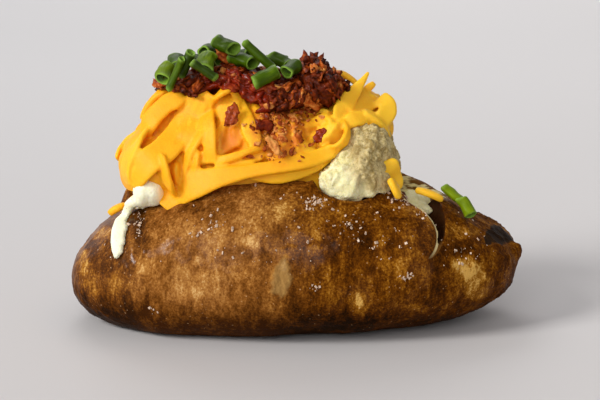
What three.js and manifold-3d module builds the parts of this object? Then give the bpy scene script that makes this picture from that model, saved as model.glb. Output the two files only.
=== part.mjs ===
// A baked potato, slit along its top and loaded with a pale whipped filling, shredded
// cheddar, crumbled bacon and cut green onion.
//
// Millimetres, +Z up. X runs along the potato, -Y is its front, and the origin lies
// under the middle of the potato, on the surface that it rests on.

import * as THREE from "three";
import { ImprovedNoise } from "three/addons/math/ImprovedNoise.js";
import { mergeVertices } from "three/addons/utils/BufferGeometryUtils.js";
import Module from "manifold-3d";

const { Vector3, MathUtils } = THREE;
const { degToRad, lerp } = MathUtils;
const wasm = await Module();
wasm.setup();

// ---------- Sizes ----------

const GAP = 0.3; // kept between any two pieces that touch
const FLAT_WITHIN = 0.2; // a point this near to its neighbours' face is left out
const SAME_WITHIN = 0.001; // points this near to each other are one
const DOWN = new Vector3(0, 0, -1);

// A size that changes smoothly along the potato: s is -1 at its left tip and 1 at its right.
const along = (left, middle, right) => (s) =>
  middle + ((right - left) / 2) * s + ((right + left) / 2 - middle) * s * s;

const POTATO = {
  length: 150,
  halfWidth: along(35, 40, 34),
  spine: along(15, 19, 23), // height of the line from tip to tip
  crown: along(19.5, 36, 10), // rise of the uncut top above the spine
  belly: along(25, 22, 27), // drop of the underside below the spine
  endFullness: 2.5, // 2 would be an ellipse; more is blunter
  sectionFullness: 2.3,
  lump: { height: 1.6, pitch: 24 },
  rings: 26,
  sides: 36,
};
const MOUTH = { at: [-6, -1, 58], radii: [62, 20, 34] }; // the slit, pushed open
const DIP = { at: [17, -21, 52], radii: [11, 9, 8] }; // where the filling spills over the rim
// At its right end the slit turns down through the near side: a slot, all but the flap
// with a round corner that stays in it, and stands proud of the skin.
const SLOT = { at: [42, -30, 46], radii: [7.6, 26, 17] };
const FLAP = { at: [10, -34, 36], radii: [36.5, 30, 16.8] };
const LIP = { at: [40, -30, 38], reach: [9, 14, 12], out: 2.6, until: 46.8 };

const FILLING = {
  bed: { at: [-6, -1, 28], radii: [60, 21, 15.5] },
  mound: { at: [21, -2, 50.5], radii: [13.5, 23, 20.5] },
  foot: { at: [16, -19, 51], radii: [9.5, 7, 7.5] }, // spills over the rim
  dollop: { at: [-47, -15, 46.5], radii: [6.5, 6.5, 6] },
  neck: { at: [-43, -9, 39], radii: [9, 8, 8] }, // joins the dollop to the bed
  heel: { at: [37, -3, 38.5], radii: [9, 11, 6] }, // fills the slit's right end
  lump: { height: 2.4, pitch: 7 },
};
// The run of filling over the left end, down along the skin, laid out as the shreds below
const DRIP = {
  past: [[-48, 46.5, 0, -16], [-52, 45.5, 0, -14], [-53.5, 41, 0.9], [-55.5, 34.5, 1.1], [-57.3, 26.7, 0.4]],
  width: [4, 3.4, 4, 5.6, 6, 4.8, 1.2],
  thickness: 2.8,
};

// The cheese heap is the outer skin of these lobes, seen from its hub, under its shreds.
const HUB = new Vector3(-12, 0, 50);
const LOBES = [
  { at: [-15, 0, 47.5], radii: [40, 22, 29.5] },
  { at: [-45, -2, 52.5], radii: [14, 19, 13.5] },
  { at: [16, 3, 64.5], radii: [14.5, 18, 10.5] },
];
const HEAP = { floor: 43.8, inset: 0.5, lump: { height: 1, pitch: 15 }, detail: 4 };
const SHRED = { width: 4.3, thickness: 2.4, spacing: 8, taper: 0.6, steps: 3 };

// Shreds of the heap's front, laid out as they are seen from in front and a little above.
// Each point is x and z where its sight line crosses an upright plane before the heap, and
// then the lift off what the line meets, or 0 and the y that it stands at. A width is one
// number, or a list of widths at even steps along the shred.
const VIEW = { from: new Vector3(1.5, -604, 179.5), plane: -25 };
const FRONT_SHREDS = [
  // the long one along the rim, the loop that ends it and the one below it
  {
    width: [5.6, 4.6, 3.8, 4.2, 5, 5.4, 5],
    past: [
      [-42.5, 43, 1.4], [-38.5, 47, 2.2], [-33.5, 49.5, 2.8], [-28.5, 52, 3.2], [-22.5, 54, 3.4],
      [-15, 55, 3.4], [-6.5, 56.5, 3.6], [1.5, 58, 3.6], [7.5, 60, 3.4], [12, 62, 3.2],
    ],
  },
  {
    width: [5, 4.8, 3.4, 2.6, 2],
    past: [[8, 60, 3.2], [12, 62, 3.2], [15.5, 65, 2.8], [16.5, 68.5, 2], [15, 71.5, 1.2]],
  },
  {
    width: [2.5, 4.4, 4.4, 3],
    past: [[-14, 53.5, 1.4], [-6.5, 53, 1.8], [0, 54.5, 2], [6, 56.5, 2], [11, 59.5, 1.6]],
  },
  // the blade that stands up on the right
  {
    width: [3.6, 6.4, 6, 4.2, 2.4, 1],
    past: [
      [13.5, 71.5, 1], [14.5, 74, 0, -11], [16.5, 78, 0, -9], [18.5, 80.5, 0, -7.5],
      [21, 84, 0, -6], [23, 87, 0, -5],
    ],
    facing: [0.2, -1, 0.2],
  },
  // the broad soft ones that make the left end
  { width: 5, past: [[-40, 81.5, 0.6], [-44, 79, 1], [-47, 75.5, 1.2], [-48.5, 72, 0.8]] },
  { width: 6.5, past: [[-35, 80, 1], [-40, 77, 1.8], [-43.5, 74, 2], [-46, 70.5, 1.6], [-47.5, 67.5, 1]] },
  {
    width: 8,
    past: [[-46.5, 68, 0.8], [-50.5, 63.5, 1.4], [-53.5, 59, 1.4], [-54.5, 54.5, 1.2], [-53.5, 50.5, 0.8]],
  },
  {
    width: 8,
    past: [
      [-30, 77.5, 1.4], [-33.5, 72, 2.2], [-37.5, 66.5, 2.6], [-41.5, 62, 2.6], [-46, 58.5, 2.2],
      [-50, 54.5, 1.6], [-52, 50.5, 1],
    ],
  },
  { width: 7, past: [[-29, 78.5, 1], [-31, 73, 1.6], [-33, 67, 1.6], [-35.5, 61.5, 1.2]] },
  // the two that lean together in the middle, like a tent, and the fan at the left one's side
  {
    width: [3, 4, 4.8, 5, 5, 4.6],
    past: [
      [-18.5, 81.5, 0.8], [-23, 79.5, 1.8], [-26.5, 76.5, 2.6], [-27.5, 72, 2.8], [-27, 67, 2.6],
      [-27, 62, 2.2], [-26.5, 57.5, 1.2],
    ],
  },
  {
    width: [3, 4.2, 5.2, 5.4, 4.6],
    past: [[-19.5, 80.5, 1], [-17, 76, 2.4], [-15, 71, 2.8], [-13, 65.5, 2.2], [-11.5, 61.5, 1.2]],
  },
  { width: 3.6, past: [[-28.5, 69, 1.8], [-31, 65, 2], [-33.5, 60.5, 1.8], [-34.5, 56.5, 1.2]] },
  // the one across their feet, which ends in a point
  {
    width: [3.2, 3, 2.2, 1],
    past: [[-25.5, 58.5, 1.6], [-20.5, 59.5, 2.6], [-15, 61.5, 2.4], [-10.5, 62.5, 1.2]],
  },
  // the ones under the bacon that has slid down
  { width: 3.8, past: [[-12, 77.5, 1], [-10.5, 73, 1.6], [-8.5, 67.5, 1.2]] },
  { width: 4.2, past: [[-7, 76, 1], [-5, 71, 1.8], [-3.5, 65.5, 1.4], [-2.5, 61.5, 1]] },
  { width: 3.4, past: [[10, 73, 1.8], [6.5, 71, 2.4], [2.5, 69.5, 1.2]] },
  // the ones over the mound at the right, the last of them bent like an arch
  { width: 3.2, past: [[11.5, 87, 0, -3], [15.5, 86, 0, -2], [19, 83.5, 0, -1], [21.5, 80.5, 0, -1]] },
  { width: 4.6, past: [[18, 76, 1], [21.5, 78.5, 1.8], [25, 79, 0, -3]] },
  {
    width: 3.6,
    past: [[24.5, 73.5, 0.8], [27, 77.5, 0, -5], [29, 79, 0, -4], [30, 76.5, 0, -5], [29, 71, 1]],
  },
];
const BACK_SHREDS = { count: 14, seed: 7, length: [22, 40] };

const BACON = {
  beds: [
    { at: [-20, 0, 78], radii: [24.5, 15, 6.2] },
    { at: [8, -1, 79], radii: [9, 13, 9.5] },
    { at: [-4, -11.5, 76], radii: [10, 4.5, 4.5] },
  ],
  lump: { height: 2, pitch: 5 },
  crumbs: { count: 24, seed: 21, size: [2.2, 3.6] },
  // crumbs that have slid down the cheese in front: x and z as for the shreds, and the size
  slide: [
    [-10, 76.5, 3],
    [-9.5, 73.5, 2.8],
    [-8, 70.8, 2.4],
    [-4, 75.5, 3],
    [-1.5, 73, 2.8],
    [-2.5, 70.2, 2.4],
    [1.5, 75, 3],
  ],
};
// Flat bits that lie by themselves on the heap's front: x and z in the same way, half the
// length and width, and turn in the plane of the front. Each starts clear of the shreds.
const LOOSE_BACON = {
  bits: [
    [-20, 73, 4.2, 2.5, 80],
    [7.5, 66.5, 3.4, 1.9, 50],
    [-7, 63.5, 4.6, 1.4, -57],
  ],
  lift: 8,
  lean: -23,
};

const ONION = { wall: 0.8, sides: 10, squash: [1.08, 0.9] };
// Cut onion on top of the heap: the middle's x, y, z, then length, radius, turn from +X
// and rise, in degrees. Each is let down from there until it touches.
const TOP_ONIONS = [
  [-41, -4, 86, 7.5, 2.6, 75, 25],
  [-38.5, -9.5, 86, 11, 1.9, 5, 66],
  [-35.5, -5, 84, 8.5, 2, 0, 64],
  [-28.5, -6.5, 86, 8, 2.9, 80, 28],
  [-29, -13.5, 86, 9.5, 1.4, -5, -33],
  [-17, -2.5, 86, 8.5, 2.6, -35, -10],
  [-9.5, -12.5, 84, 9.5, 2.3, 25, 22],
  [-2.5, -9, 87, 7, 2.5, 60, 15],
  [-3.5, 0.5, 87, 7, 2.5, -30, -22],
  [-28.5, -0.5, 90, 6.5, 2.5, 65, 0],
  [-22.5, -1.5, 88, 7.5, 2.6, -40, -15],
  [-13, -6, 91, 13, 1.6, -5, -42],
  [-29.5, 9, 80, 9, 3, -10, 5],
  [-19, 11.5, 80, 9, 3, 160, -10],
  [-39, 6, 80, 8, 2.8, 100, 15],
  [-7.5, 10, 80, 8, 3, 20, -5],
];
const NUDGES = [[0, 0], [1.2, 0], [-1.2, 0], [0, 1.2], [0, -1.2]]; // tried for each of them
// Cut onion at the right end of the slit.
const END_ONIONS = [
  [51.5, -6, 43, 7, 2.2, -12, -38],
  [55.5, -13, 39, 6.5, 2.2, -30, -52],
];
// Shreds that fell beside the heap, a little bowed: the middle's x, y, z, then length,
// turn and rise.
const FALLEN_SHREDS = [
  [-58.5, -6, 36, 7, 10, 25],
  [31.5, -22.5, 51, 7.5, -20, -62],
  [43.5, -13, 44.5, 10, -5, -20],
];
const BOW = 0.6;

// ---------- Helpers ----------

// How a piece finds its rest, and by how much one place must be lower to be the better one.
const SETTLE = { reach: 4, back: 0.5, near: 0.02, steps: 80, lower: 0.3 };
const TIP = 0.99999; // past this share of the half length lies only the tip itself

const perlin = new ImprovedNoise();
const noise = (p, { height, pitch }, seed = 0) =>
  height * perlin.noise(p.x / pitch + seed, p.y / pitch + 0.37 * seed, p.z / pitch + 0.71 * seed);

// Draws numbers from 0 to 1, the same ones at every run.
function draws(seed) {
  MathUtils.seededRandom(seed);
  return (low = 0, high = 1) => lerp(low, high, MathUtils.seededRandom());
}

// A geometry with its vertices merged, and then each of them moved.
function shaped(geometry, move) {
  geometry.deleteAttribute("normal");
  geometry.deleteAttribute("uv");
  const merged = mergeVertices(geometry, 1e-4);
  const position = merged.attributes.position;
  for (let i = 0; i < position.count; i++) {
    const moved = move(new Vector3().fromBufferAttribute(position, i));
    position.setXYZ(i, moved.x, moved.y, moved.z);
  }
  return merged;
}

// The same geometry with its surface moved out by a distance, or in by a negative one.
function swollen(geometry, distance) {
  if (!distance) return geometry;
  geometry.computeVertexNormals();
  const normal = geometry.attributes.normal;
  for (let i = 0; i < normal.count; i++) {
    const out = new Vector3().fromBufferAttribute(normal, i).multiplyScalar(distance);
    const p = new Vector3().fromBufferAttribute(geometry.attributes.position, i).add(out);
    geometry.attributes.position.setXYZ(i, p.x, p.y, p.z);
  }
  return geometry;
}

function solid(geometry) {
  return new wasm.Manifold(
    new wasm.Mesh({
      numProp: 3,
      vertProperties: geometry.attributes.position.array,
      triVerts: new Uint32Array(geometry.index.array),
    }),
  );
}

const union = (solids) => solids.reduce((all, one) => all.add(one));

// The largest body of a solid, without the scraps that a cut leaves.
const largest = (cut) =>
  cut.decompose().reduce((most, body) => (body.volume() > most.volume() ? body : most));

function geometryOf(body) {
  const made = body.getMesh();
  const geometry = new THREE.BufferGeometry();
  geometry.setAttribute("position", new THREE.BufferAttribute(made.vertProperties, made.numProp));
  geometry.setIndex(new THREE.BufferAttribute(made.triVerts, 1));
  return geometry;
}

// The same solid without the points that lie along a nearly flat face or on each other.
const tidied = (body) => largest(solid(mergeVertices(geometryOf(body.simplify(FLAT_WITHIN)), SAME_WITHIN)));

function meshOf(name, body, material) {
  const geometry = geometryOf(body);
  geometry.computeVertexNormals();
  const mesh = new THREE.Mesh(geometry, material);
  mesh.name = name;
  return mesh;
}

// A ball stretched to three radii and made uneven.
function blob({ at, radii }, { lump, seed = 0, detail = 5, grow = 0 } = {}) {
  const size = new Vector3(...radii);
  const ball = shaped(new THREE.IcosahedronGeometry(1, detail), (p) => {
    const placed = p.clone().multiply(size);
    if (lump) placed.addScaledVector(p, noise(placed, lump, seed));
    return placed.add(new Vector3(...at));
  });
  return solid(swollen(ball, grow));
}

// The width of a strip at a share t of its length: one width drawn in towards both ends, or
// what lies between the two nearest of a list.
function widthAt(width, t) {
  if (!Array.isArray(width)) return width * (1 - SHRED.taper * Math.abs(2 * t - 1) ** 4);
  const place = t * (width.length - 1);
  const before = Math.min(Math.floor(place), width.length - 2);
  return lerp(width[before], width[before + 1], place - before);
}

// A bar of rectangular section, bent along a curve with its flat side facing out of the heap.
function strip(points, outOf, { width, thickness, grow = 0 }) {
  const curve = new THREE.CatmullRomCurve3(points);
  const fewest = Array.isArray(width) ? width.length - 1 : SHRED.steps;
  const steps = Math.max(fewest, Math.round(curve.getLength() / SHRED.spacing));
  return shaped(new THREE.BoxGeometry(2, 2, 1, 1, 1, steps), (p) => {
    const t = p.z + 0.5;
    const tangent = curve.getTangentAt(t);
    const centre = curve.getPointAt(t);
    const side = outOf(centre).cross(tangent).normalize();
    const outward = tangent.clone().cross(side);
    const past = t === 0 || t === 1 ? grow * Math.sign(p.z) : 0; // the ends grow lengthways too
    return centre
      .addScaledVector(side, p.x * (widthAt(width, t) / 2 + grow))
      .addScaledVector(outward, p.y * (thickness / 2 + grow))
      .addScaledVector(tangent, past);
  });
}

const sightLine = (x, z) => new Vector3(x, VIEW.plane, z).sub(VIEW.from);

// Where the sight line through x, z meets a solid, lifted off it towards the viewer, or
// where the line passes a given y.
function seen([x, z, lift, y], met) {
  const sight = sightLine(x, z);
  const at = (share) => VIEW.from.clone().addScaledVector(sight, share);
  if (y !== undefined) return at((y - VIEW.from.y) / sight.y);
  const [hit] = met.rayCast(VIEW.from.toArray(), at(1.2).toArray());
  if (!hit) return at(VIEW.from.y / -sight.y);
  sight.normalize();
  return new Vector3(...hit.position).addScaledVector(sight, lift * sight.dot(new Vector3(...hit.normal)));
}

// Lets a piece down onto the pile until it all but touches, after backing it out to a
// place that is free. The gap between them is always a safe step.
function settled(piece, pile, down) {
  const gap = (one) => Math.min(...pile.map((other) => one.minGap(other, SETTLE.reach))) - GAP;
  const moved = (one, step) => one.translate(...down.clone().multiplyScalar(step));
  let here = piece;
  while (gap(here) < 0) here = moved(here, -SETTLE.back);
  for (let i = 0; i < SETTLE.steps && gap(here) > SETTLE.near; i++) here = moved(here, gap(here));
  return here;
}

// ---------- Potato ----------

// Where the skin lies in a direction (y, z) of the section at s.
function skin(s, y, z) {
  const ring = (1 - Math.abs(s) ** POTATO.endFullness) ** (1 / POTATO.endFullness);
  const length = Math.hypot(y, z) || 1;
  const full = (share) => Math.sign(share) * Math.abs(share) ** (2 / POTATO.sectionFullness);
  const upright = z > 0 ? POTATO.crown(s) : POTATO.belly(s);
  return new Vector3(
    (s * POTATO.length) / 2,
    ring * POTATO.halfWidth(s) * full(y / length),
    POTATO.spine(s) + ring * upright * full(z / length),
  );
}

// How far the flap beside the slot stands proud of the skin.
function lipAt(p) {
  if (p.y > 0 || p.x > LIP.until) return 0;
  const away = new Vector3(...LIP.at).sub(p).divide(new Vector3(...LIP.reach)).lengthSq();
  return LIP.out * Math.exp(-away);
}

function body(grow) {
  const ball = new THREE.SphereGeometry(1, POTATO.sides, POTATO.rings).rotateZ(-Math.PI / 2);
  const geometry = shaped(ball, (p) => {
    const s = Math.abs(p.x) > TIP ? Math.sign(p.x) : p.x;
    const onSkin = skin(s, p.y, p.z);
    const across = new Vector3(0, p.y, p.z);
    onSkin.addScaledVector(across, noise(onSkin, POTATO.lump, 3) + lipAt(onSkin));
    onSkin.z = Math.max(onSkin.z, 0); // it has sagged flat where it rests
    return onSkin;
  });
  geometry.computeBoundingBox();
  const middle = geometry.boundingBox.getCenter(new Vector3());
  geometry.translate(-middle.x, -middle.y, 0);
  return solid(swollen(geometry, grow));
}

function potato(grow = 0) {
  const slot = blob(SLOT, { detail: 4, grow: -grow }).subtract(blob(FLAP, { detail: 4, grow }));
  const cuts = [blob(MOUTH, { detail: 5, grow: -grow }), blob(DIP, { detail: 3, grow: -grow }), slot];
  return body(grow).subtract(union(cuts));
}

// ---------- Filling ----------

function drip(grow) {
  const outOf = (p) => new Vector3(0, p.y, p.z - POTATO.spine((2 * p.x) / POTATO.length));
  const points = DRIP.past.map((point) => seen(point, jacket));
  return solid(strip(points, outOf, { ...DRIP, grow }));
}

function filling(grow = 0) {
  const { lump } = FILLING;
  return union([
    blob(FILLING.bed, { detail: 3, grow }),
    blob(FILLING.mound, { lump, seed: 5, detail: 4, grow }),
    blob(FILLING.foot, { lump, seed: 7, detail: 3, grow }),
    blob(FILLING.dollop, { lump, seed: 9, detail: 2, grow }),
    blob(FILLING.neck, { detail: 2, grow }),
    blob(FILLING.heel, { lump, seed: 2, detail: 3, grow }),
    drip(grow),
  ]);
}

// ---------- Cheese ----------

// How far the lobes reach from the hub in a direction.
function reach(direction) {
  const distances = LOBES.map(({ at, radii }) => {
    const size = new Vector3(...radii);
    const start = HUB.clone().sub(new Vector3(...at)).divide(size);
    const step = direction.clone().divide(size);
    const a = step.lengthSq();
    const b = start.dot(step);
    const inside = b * b - a * (start.lengthSq() - 1);
    return inside > 0 ? (Math.sqrt(inside) - b) / a : 0;
  });
  return Math.max(...distances);
}

const outOfHeap = (p) => p.clone().sub(HUB).normalize();

// The heap's surface in a direction from the hub, with a lift off it.
const onHeap = (direction, lift = 0) => {
  const unit = direction.clone().normalize();
  return HUB.clone().addScaledVector(unit, reach(unit) + lift);
};

function heapCore(grow = 0) {
  const ball = shaped(new THREE.IcosahedronGeometry(1, HEAP.detail), (p) => {
    const onLobes = onHeap(p, -HEAP.inset);
    onLobes.addScaledVector(p, noise(onLobes, HEAP.lump, 11));
    onLobes.z = Math.max(onLobes.z, HEAP.floor);
    return onLobes;
  });
  return solid(swollen(ball, grow));
}

function frontShred({ past, width, facing }) {
  const points = past.map((point) => seen(point, underShreds));
  return strip(points, facing ? () => new Vector3(...facing) : outOfHeap, { ...SHRED, width });
}

// A shred laid by chance over the back or the sides.
function backShred(draw) {
  const turn = degToRad(draw(-15, 195));
  const rise = degToRad(draw(10, 65));
  const length = draw(...BACK_SHREDS.length);
  const heading = draw(0, Math.PI);
  const middle = new Vector3(
    Math.cos(rise) * Math.cos(turn),
    Math.cos(rise) * Math.sin(turn),
    Math.sin(rise),
  );
  const level = new Vector3(-Math.sin(turn), Math.cos(turn), 0);
  const uphill = middle.clone().cross(level);
  const heads = level.multiplyScalar(Math.cos(heading)).addScaledVector(uphill, Math.sin(heading));
  const half = length / 2 / reach(middle);
  const lift = draw(0.3, 1.8);
  const points = [-1, -0.4, 0.4, 1].map((share) => {
    const p = onHeap(middle.clone().addScaledVector(heads, share * half), lift);
    p.z = Math.max(p.z, HEAP.floor + 2);
    return p;
  });
  return strip(points, outOfHeap, { ...SHRED, width: SHRED.width * draw(0.8, 1.2) });
}

function shreds() {
  const draw = draws(BACK_SHREDS.seed);
  const back = Array.from({ length: BACK_SHREDS.count }, () => backShred(draw));
  return union([...FRONT_SHREDS.map(frontShred), ...back].map(solid));
}

// ---------- Bacon ----------

// A crumb: a few flat faces, longer one way than the others.
function crumb(at, size, draw, grow = 0) {
  const turn = new THREE.Euler(draw(0, 3), draw(0, 3), draw(0, 3));
  const radii = new Vector3(size, size * 0.75, size * 0.55);
  const ball = shaped(new THREE.IcosahedronGeometry(1, 0), (p) =>
    p.multiply(radii).multiplyScalar(draw(0.75, 1.2)).applyEuler(turn).add(at),
  );
  return solid(swollen(ball, grow));
}

function bacon(grow = 0) {
  const { beds, crumbs, slide, lump } = BACON;
  const draw = draws(crumbs.seed);
  const scattered = Array.from({ length: crumbs.count }, (_, i) => {
    const { at, radii } = beds[i % 3 ? 0 : 1];
    const turn = draw(0, 2 * Math.PI);
    const rise = draw(-0.1, 1.1);
    const out = new Vector3(Math.cos(turn) * Math.cos(rise), Math.sin(turn) * Math.cos(rise), Math.sin(rise));
    const place = out.multiply(new Vector3(...radii)).add(new Vector3(...at));
    return crumb(place, draw(...crumbs.size), draw, grow);
  });
  const slid = slide.map(([x, z, size]) => crumb(seen([x, z, size * 0.9], underBacon), size, draw, grow));
  const heaps = beds.map((bed, i) => blob(bed, { lump, seed: 30 + i, detail: 3, grow }));
  return union([...heaps, ...scattered, ...slid]);
}

function looseBacon([x, z, half, across, turn], seed, pile) {
  const draw = draws(100 + seed);
  const start = seen([x, z, LOOSE_BACON.lift], underShreds);
  const flat = shaped(new THREE.OctahedronGeometry(1, 1), (p) =>
    p.multiply(new Vector3(half, 1, across)).multiplyScalar(draw(0.8, 1.2)),
  );
  const leaning = flat.rotateY(-degToRad(turn)).rotateX(degToRad(LOOSE_BACON.lean));
  return settled(solid(leaning.translate(...start)), pile, sightLine(x, z).normalize());
}

// ---------- Onion and fallen shreds ----------

// A cut length of hollow leaf, a little flattened.
function onionTube(length, radius) {
  const inner = radius - ONION.wall;
  const outline = [[inner, -1], [radius, -1], [radius, 0], [radius, 1], [inner, 1], [inner, -1]];
  const profile = outline.map(([r, end]) => new THREE.Vector2(r, (end * length) / 2));
  const [wide, high] = ONION.squash;
  return shaped(new THREE.LatheGeometry(profile, ONION.sides), (p) =>
    new Vector3(p.y, -p.x * wide, p.z * high),
  );
}

// A piece that lies along X, turned and then let down onto the pile. Of the places
// tried, it takes the one where it comes to lie lowest.
function dropped(geometry, [x, y, z], turn, rise, pile, nudges = [[0, 0]]) {
  const tilted = geometry.rotateY(-degToRad(rise)).rotateZ(degToRad(turn));
  const start = solid(tilted.translate(x, y, z));
  const tried = nudges.map(([dx, dy]) => settled(start.translate(dx, dy, 0), pile, DOWN));
  const height = (piece) => piece.boundingBox().max[2];
  return tried.reduce((lowest, piece) => (height(piece) < height(lowest) - SETTLE.lower ? piece : lowest));
}

function fallenShred([x, y, z, length, turn, rise], pile) {
  const points = [-0.5, 0, 0.5].map((share) => new Vector3(share * length, 0, share ? 0 : BOW));
  const bar = strip(points, () => new Vector3(0, 0, 1), SHRED);
  return dropped(bar, [x, y, z], turn, rise, pile);
}

// ---------- The dish, put together ----------

const material = (color, roughness) => new THREE.MeshStandardMaterial({ color, roughness, metalness: 0 });
const SKIN = material("#7b4c23", 0.55);
const CREAM = material("#f1ebb9", 0.6);
const CHEDDAR = material("#f8c040", 0.45);
const RASHER = material("#6b2a16", 0.4);
const LEAF = material("#5f8a2a", 0.4);

const jacket = potato();
const cream = largest(filling().subtract(potato(GAP)));
const underShreds = union([jacket, cream, ...LOBES.map((lobe) => blob(lobe))]);
const underBacon = union([underShreds, ...BACON.beds.slice(0, 2).map((bed) => blob(bed))]);
const heap = heapCore().subtract(potato(GAP)).subtract(filling(GAP));
const laid = shreds().subtract(bacon(GAP)).subtract(potato(GAP)).subtract(filling(GAP));
const cheese = largest(heap.add(laid));
const rashers = largest(bacon().subtract(heapCore(GAP)).subtract(potato(GAP)).subtract(filling(GAP)));

const loaded = new THREE.Group();
const pile = [];
function serve(name, made, finish) {
  const piece = tidied(made);
  pile.push(piece);
  loaded.add(meshOf(name, piece, finish));
}
const numbered = (name, i) => `${name}_${String(i + 1).padStart(2, "0")}`;

serve("potato", jacket, SKIN);
serve("filling", cream, CREAM);
serve("cheese_heap", cheese, CHEDDAR);
serve("bacon_heap", rashers, RASHER);
LOOSE_BACON.bits.forEach((bit, i) => serve(numbered("bacon_bit", i), looseBacon(bit, i, pile), RASHER));
FALLEN_SHREDS.forEach((row, i) => serve(numbered("cheese_shred", i), fallenShred(row, pile), CHEDDAR));
[...TOP_ONIONS, ...END_ONIONS].forEach(([x, y, z, length, radius, turn, rise], i) => {
  const nudges = i < TOP_ONIONS.length ? NUDGES : undefined;
  const tube = dropped(onionTube(length, radius), [x, y, z], turn, rise, pile, nudges);
  serve(numbered("onion", i), tube, LEAF);
});

export default loaded;
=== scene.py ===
# %% [markdown]
# # A loaded baked potato
#
# A russet potato is baked in its skin, slit along the top and squeezed open. Whipped filling
# goes into the slit, and shredded cheddar, crumbled bacon, cut green onion and coarse salt go
# on top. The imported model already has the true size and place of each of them, as plain solids.
# This lesson dresses them: every solid is replaced by a piece with the fine surface of the food.
#
# All the building is done in millimetres, because food is easy to think of in millimetres. A
# piece is scaled to metres, Blender's unit, in the last moment before it becomes an object.

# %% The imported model
import math
import random

import bmesh
import bpy
from mathutils import Matrix, Vector, noise
from mathutils.bvhtree import BVHTree
from mathutils.geometry import interpolate_bezier
from mathutils.kdtree import KDTree


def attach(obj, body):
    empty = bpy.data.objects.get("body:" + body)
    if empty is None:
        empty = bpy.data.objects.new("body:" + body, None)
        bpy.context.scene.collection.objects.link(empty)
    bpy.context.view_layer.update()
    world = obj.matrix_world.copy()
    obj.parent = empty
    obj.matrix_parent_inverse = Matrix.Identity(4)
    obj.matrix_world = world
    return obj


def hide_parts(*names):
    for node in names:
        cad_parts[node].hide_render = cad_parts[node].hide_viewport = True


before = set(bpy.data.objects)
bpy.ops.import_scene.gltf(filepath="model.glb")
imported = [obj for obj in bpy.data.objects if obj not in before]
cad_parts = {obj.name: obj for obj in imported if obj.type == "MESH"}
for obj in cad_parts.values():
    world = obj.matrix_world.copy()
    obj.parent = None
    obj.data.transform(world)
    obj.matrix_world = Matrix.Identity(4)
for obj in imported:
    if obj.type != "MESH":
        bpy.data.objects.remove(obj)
noise.seed_set(1)  # without a seed, noise_vector takes one from the clock
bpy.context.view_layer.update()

# %% [markdown]
# ## Camera
#
# Food is often taken from a little above with a long lens, so that it looks calm and close. A
# camera in Blender looks along its own -Z, so turning it about X by 90 degrees less the
# elevation makes it look level along +Y and then down by the elevation.

# %% Camera
MM = 0.001
AIM = Vector((1.5, 0, 40))
DISTANCE = 620
LENS = 111.9
ELEVATION = math.radians(13)
EYE = AIM + DISTANCE * Vector((0, -math.cos(ELEVATION), math.sin(ELEVATION)))


def linked(name, data):
    """A new object in the scene."""
    made = bpy.data.objects.new(name, data)
    bpy.context.scene.collection.objects.link(made)
    return made


camera = linked("camera", bpy.data.cameras.new("camera"))
camera.data.sensor_width = 36
camera.data.lens = LENS
camera.data.dof.use_dof = False
camera.location = EYE * MM
camera.rotation_euler = (math.pi / 2 - ELEVATION, 0, 0)
bpy.context.scene.camera = camera
print("camera at", tuple(round(c, 1) for c in EYE), "mm")

# %% [markdown]
# ## Shader maths in Python
#
# A material is a graph of nodes, and a graph is hard to read as code. This class wraps one
# output socket. Python's operators on it add Math nodes, so a mask is written as an expression
# such as `1 - mask * 0.5`. Its `node` method adds every other node: first its settings, then
# the values or wires of its inputs.


# %% A wire between shader nodes
class Wire:
    """One output socket of a shader node, or only the tree that nodes are added to."""

    def __init__(self, tree, socket=None):
        self.tree = tree
        self.socket = socket

    def node(self, kind, settings=None, inputs=None, output=0):
        made = self.tree.nodes.new("ShaderNode" + kind)
        for name, value in (settings or {}).items():
            if name == "stops":
                fill_ramp(made.color_ramp, value)
            else:
                setattr(made, name, value)
        for name, value in (inputs or {}).items():
            if isinstance(value, Wire):
                self.tree.links.new(value.socket, made.inputs[name])
            else:
                made.inputs[name].default_value = value
        return Wire(self.tree, made.outputs[output] if made.outputs else None)

    def maths(self, operation, first, second):
        return self.node("Math", {"operation": operation}, {0: first, 1: second})

    def __add__(self, other):
        return self.maths("ADD", self, other)

    __radd__ = __add__

    def __sub__(self, other):
        return self.maths("SUBTRACT", self, other)

    def __rsub__(self, other):
        return self.maths("SUBTRACT", other, self)

    def __mul__(self, other):
        return self.maths("MULTIPLY", self, other)

    __rmul__ = __mul__


def fill_ramp(ramp, stops):
    """Puts colours on a ramp: a position, then red, green and blue from 0 to 255."""
    while len(ramp.elements) < len(stops):
        ramp.elements.new(1)
    for element, (position, *colour) in zip(ramp.elements, stops):
        element.position = position
        element.color = srgb(*colour)


def srgb(red, green, blue):
    """A colour as seen on a screen, from 0 to 255, as the linear colour that Blender takes."""
    shares = (c / 255 for c in (red, green, blue))
    linear = (s / 12.92 if s <= 0.04045 else ((s + 0.055) / 1.055) ** 2.4 for s in shares)
    return (*linear, 1)


# %% [markdown]
# The materials below share a few small tools: the place on the piece in millimetres, noise with
# a pitch in millimetres, a smooth step from 0 to 1, a mix of two colours, a ramp of several, a
# number that the mesh keeps at each vertex, and a Principled surface joined to the output.


# %% Tools for materials
def material(name, finish):
    """A new material, whose empty tree a finish fills with nodes."""
    made = bpy.data.materials.new(name)
    made.use_nodes = True
    made.node_tree.nodes.clear()
    finish(Wire(made.node_tree))
    return made


def place_in_mm(start):
    place = start.node("TexCoord", output=3)
    return start.node("VectorMath", {"operation": "SCALE"}, {0: place, "Scale": 1 / MM})


def grain(place, pitch, detail, roughness=0.5):
    inputs = {"Vector": place, "Scale": 1 / pitch, "Detail": detail, "Roughness": roughness}
    return place.node("TexNoise", inputs=inputs)


def cells(place, pitch):
    return place.node("TexVoronoi", inputs={"Vector": place, "Scale": 1 / pitch})


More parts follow.
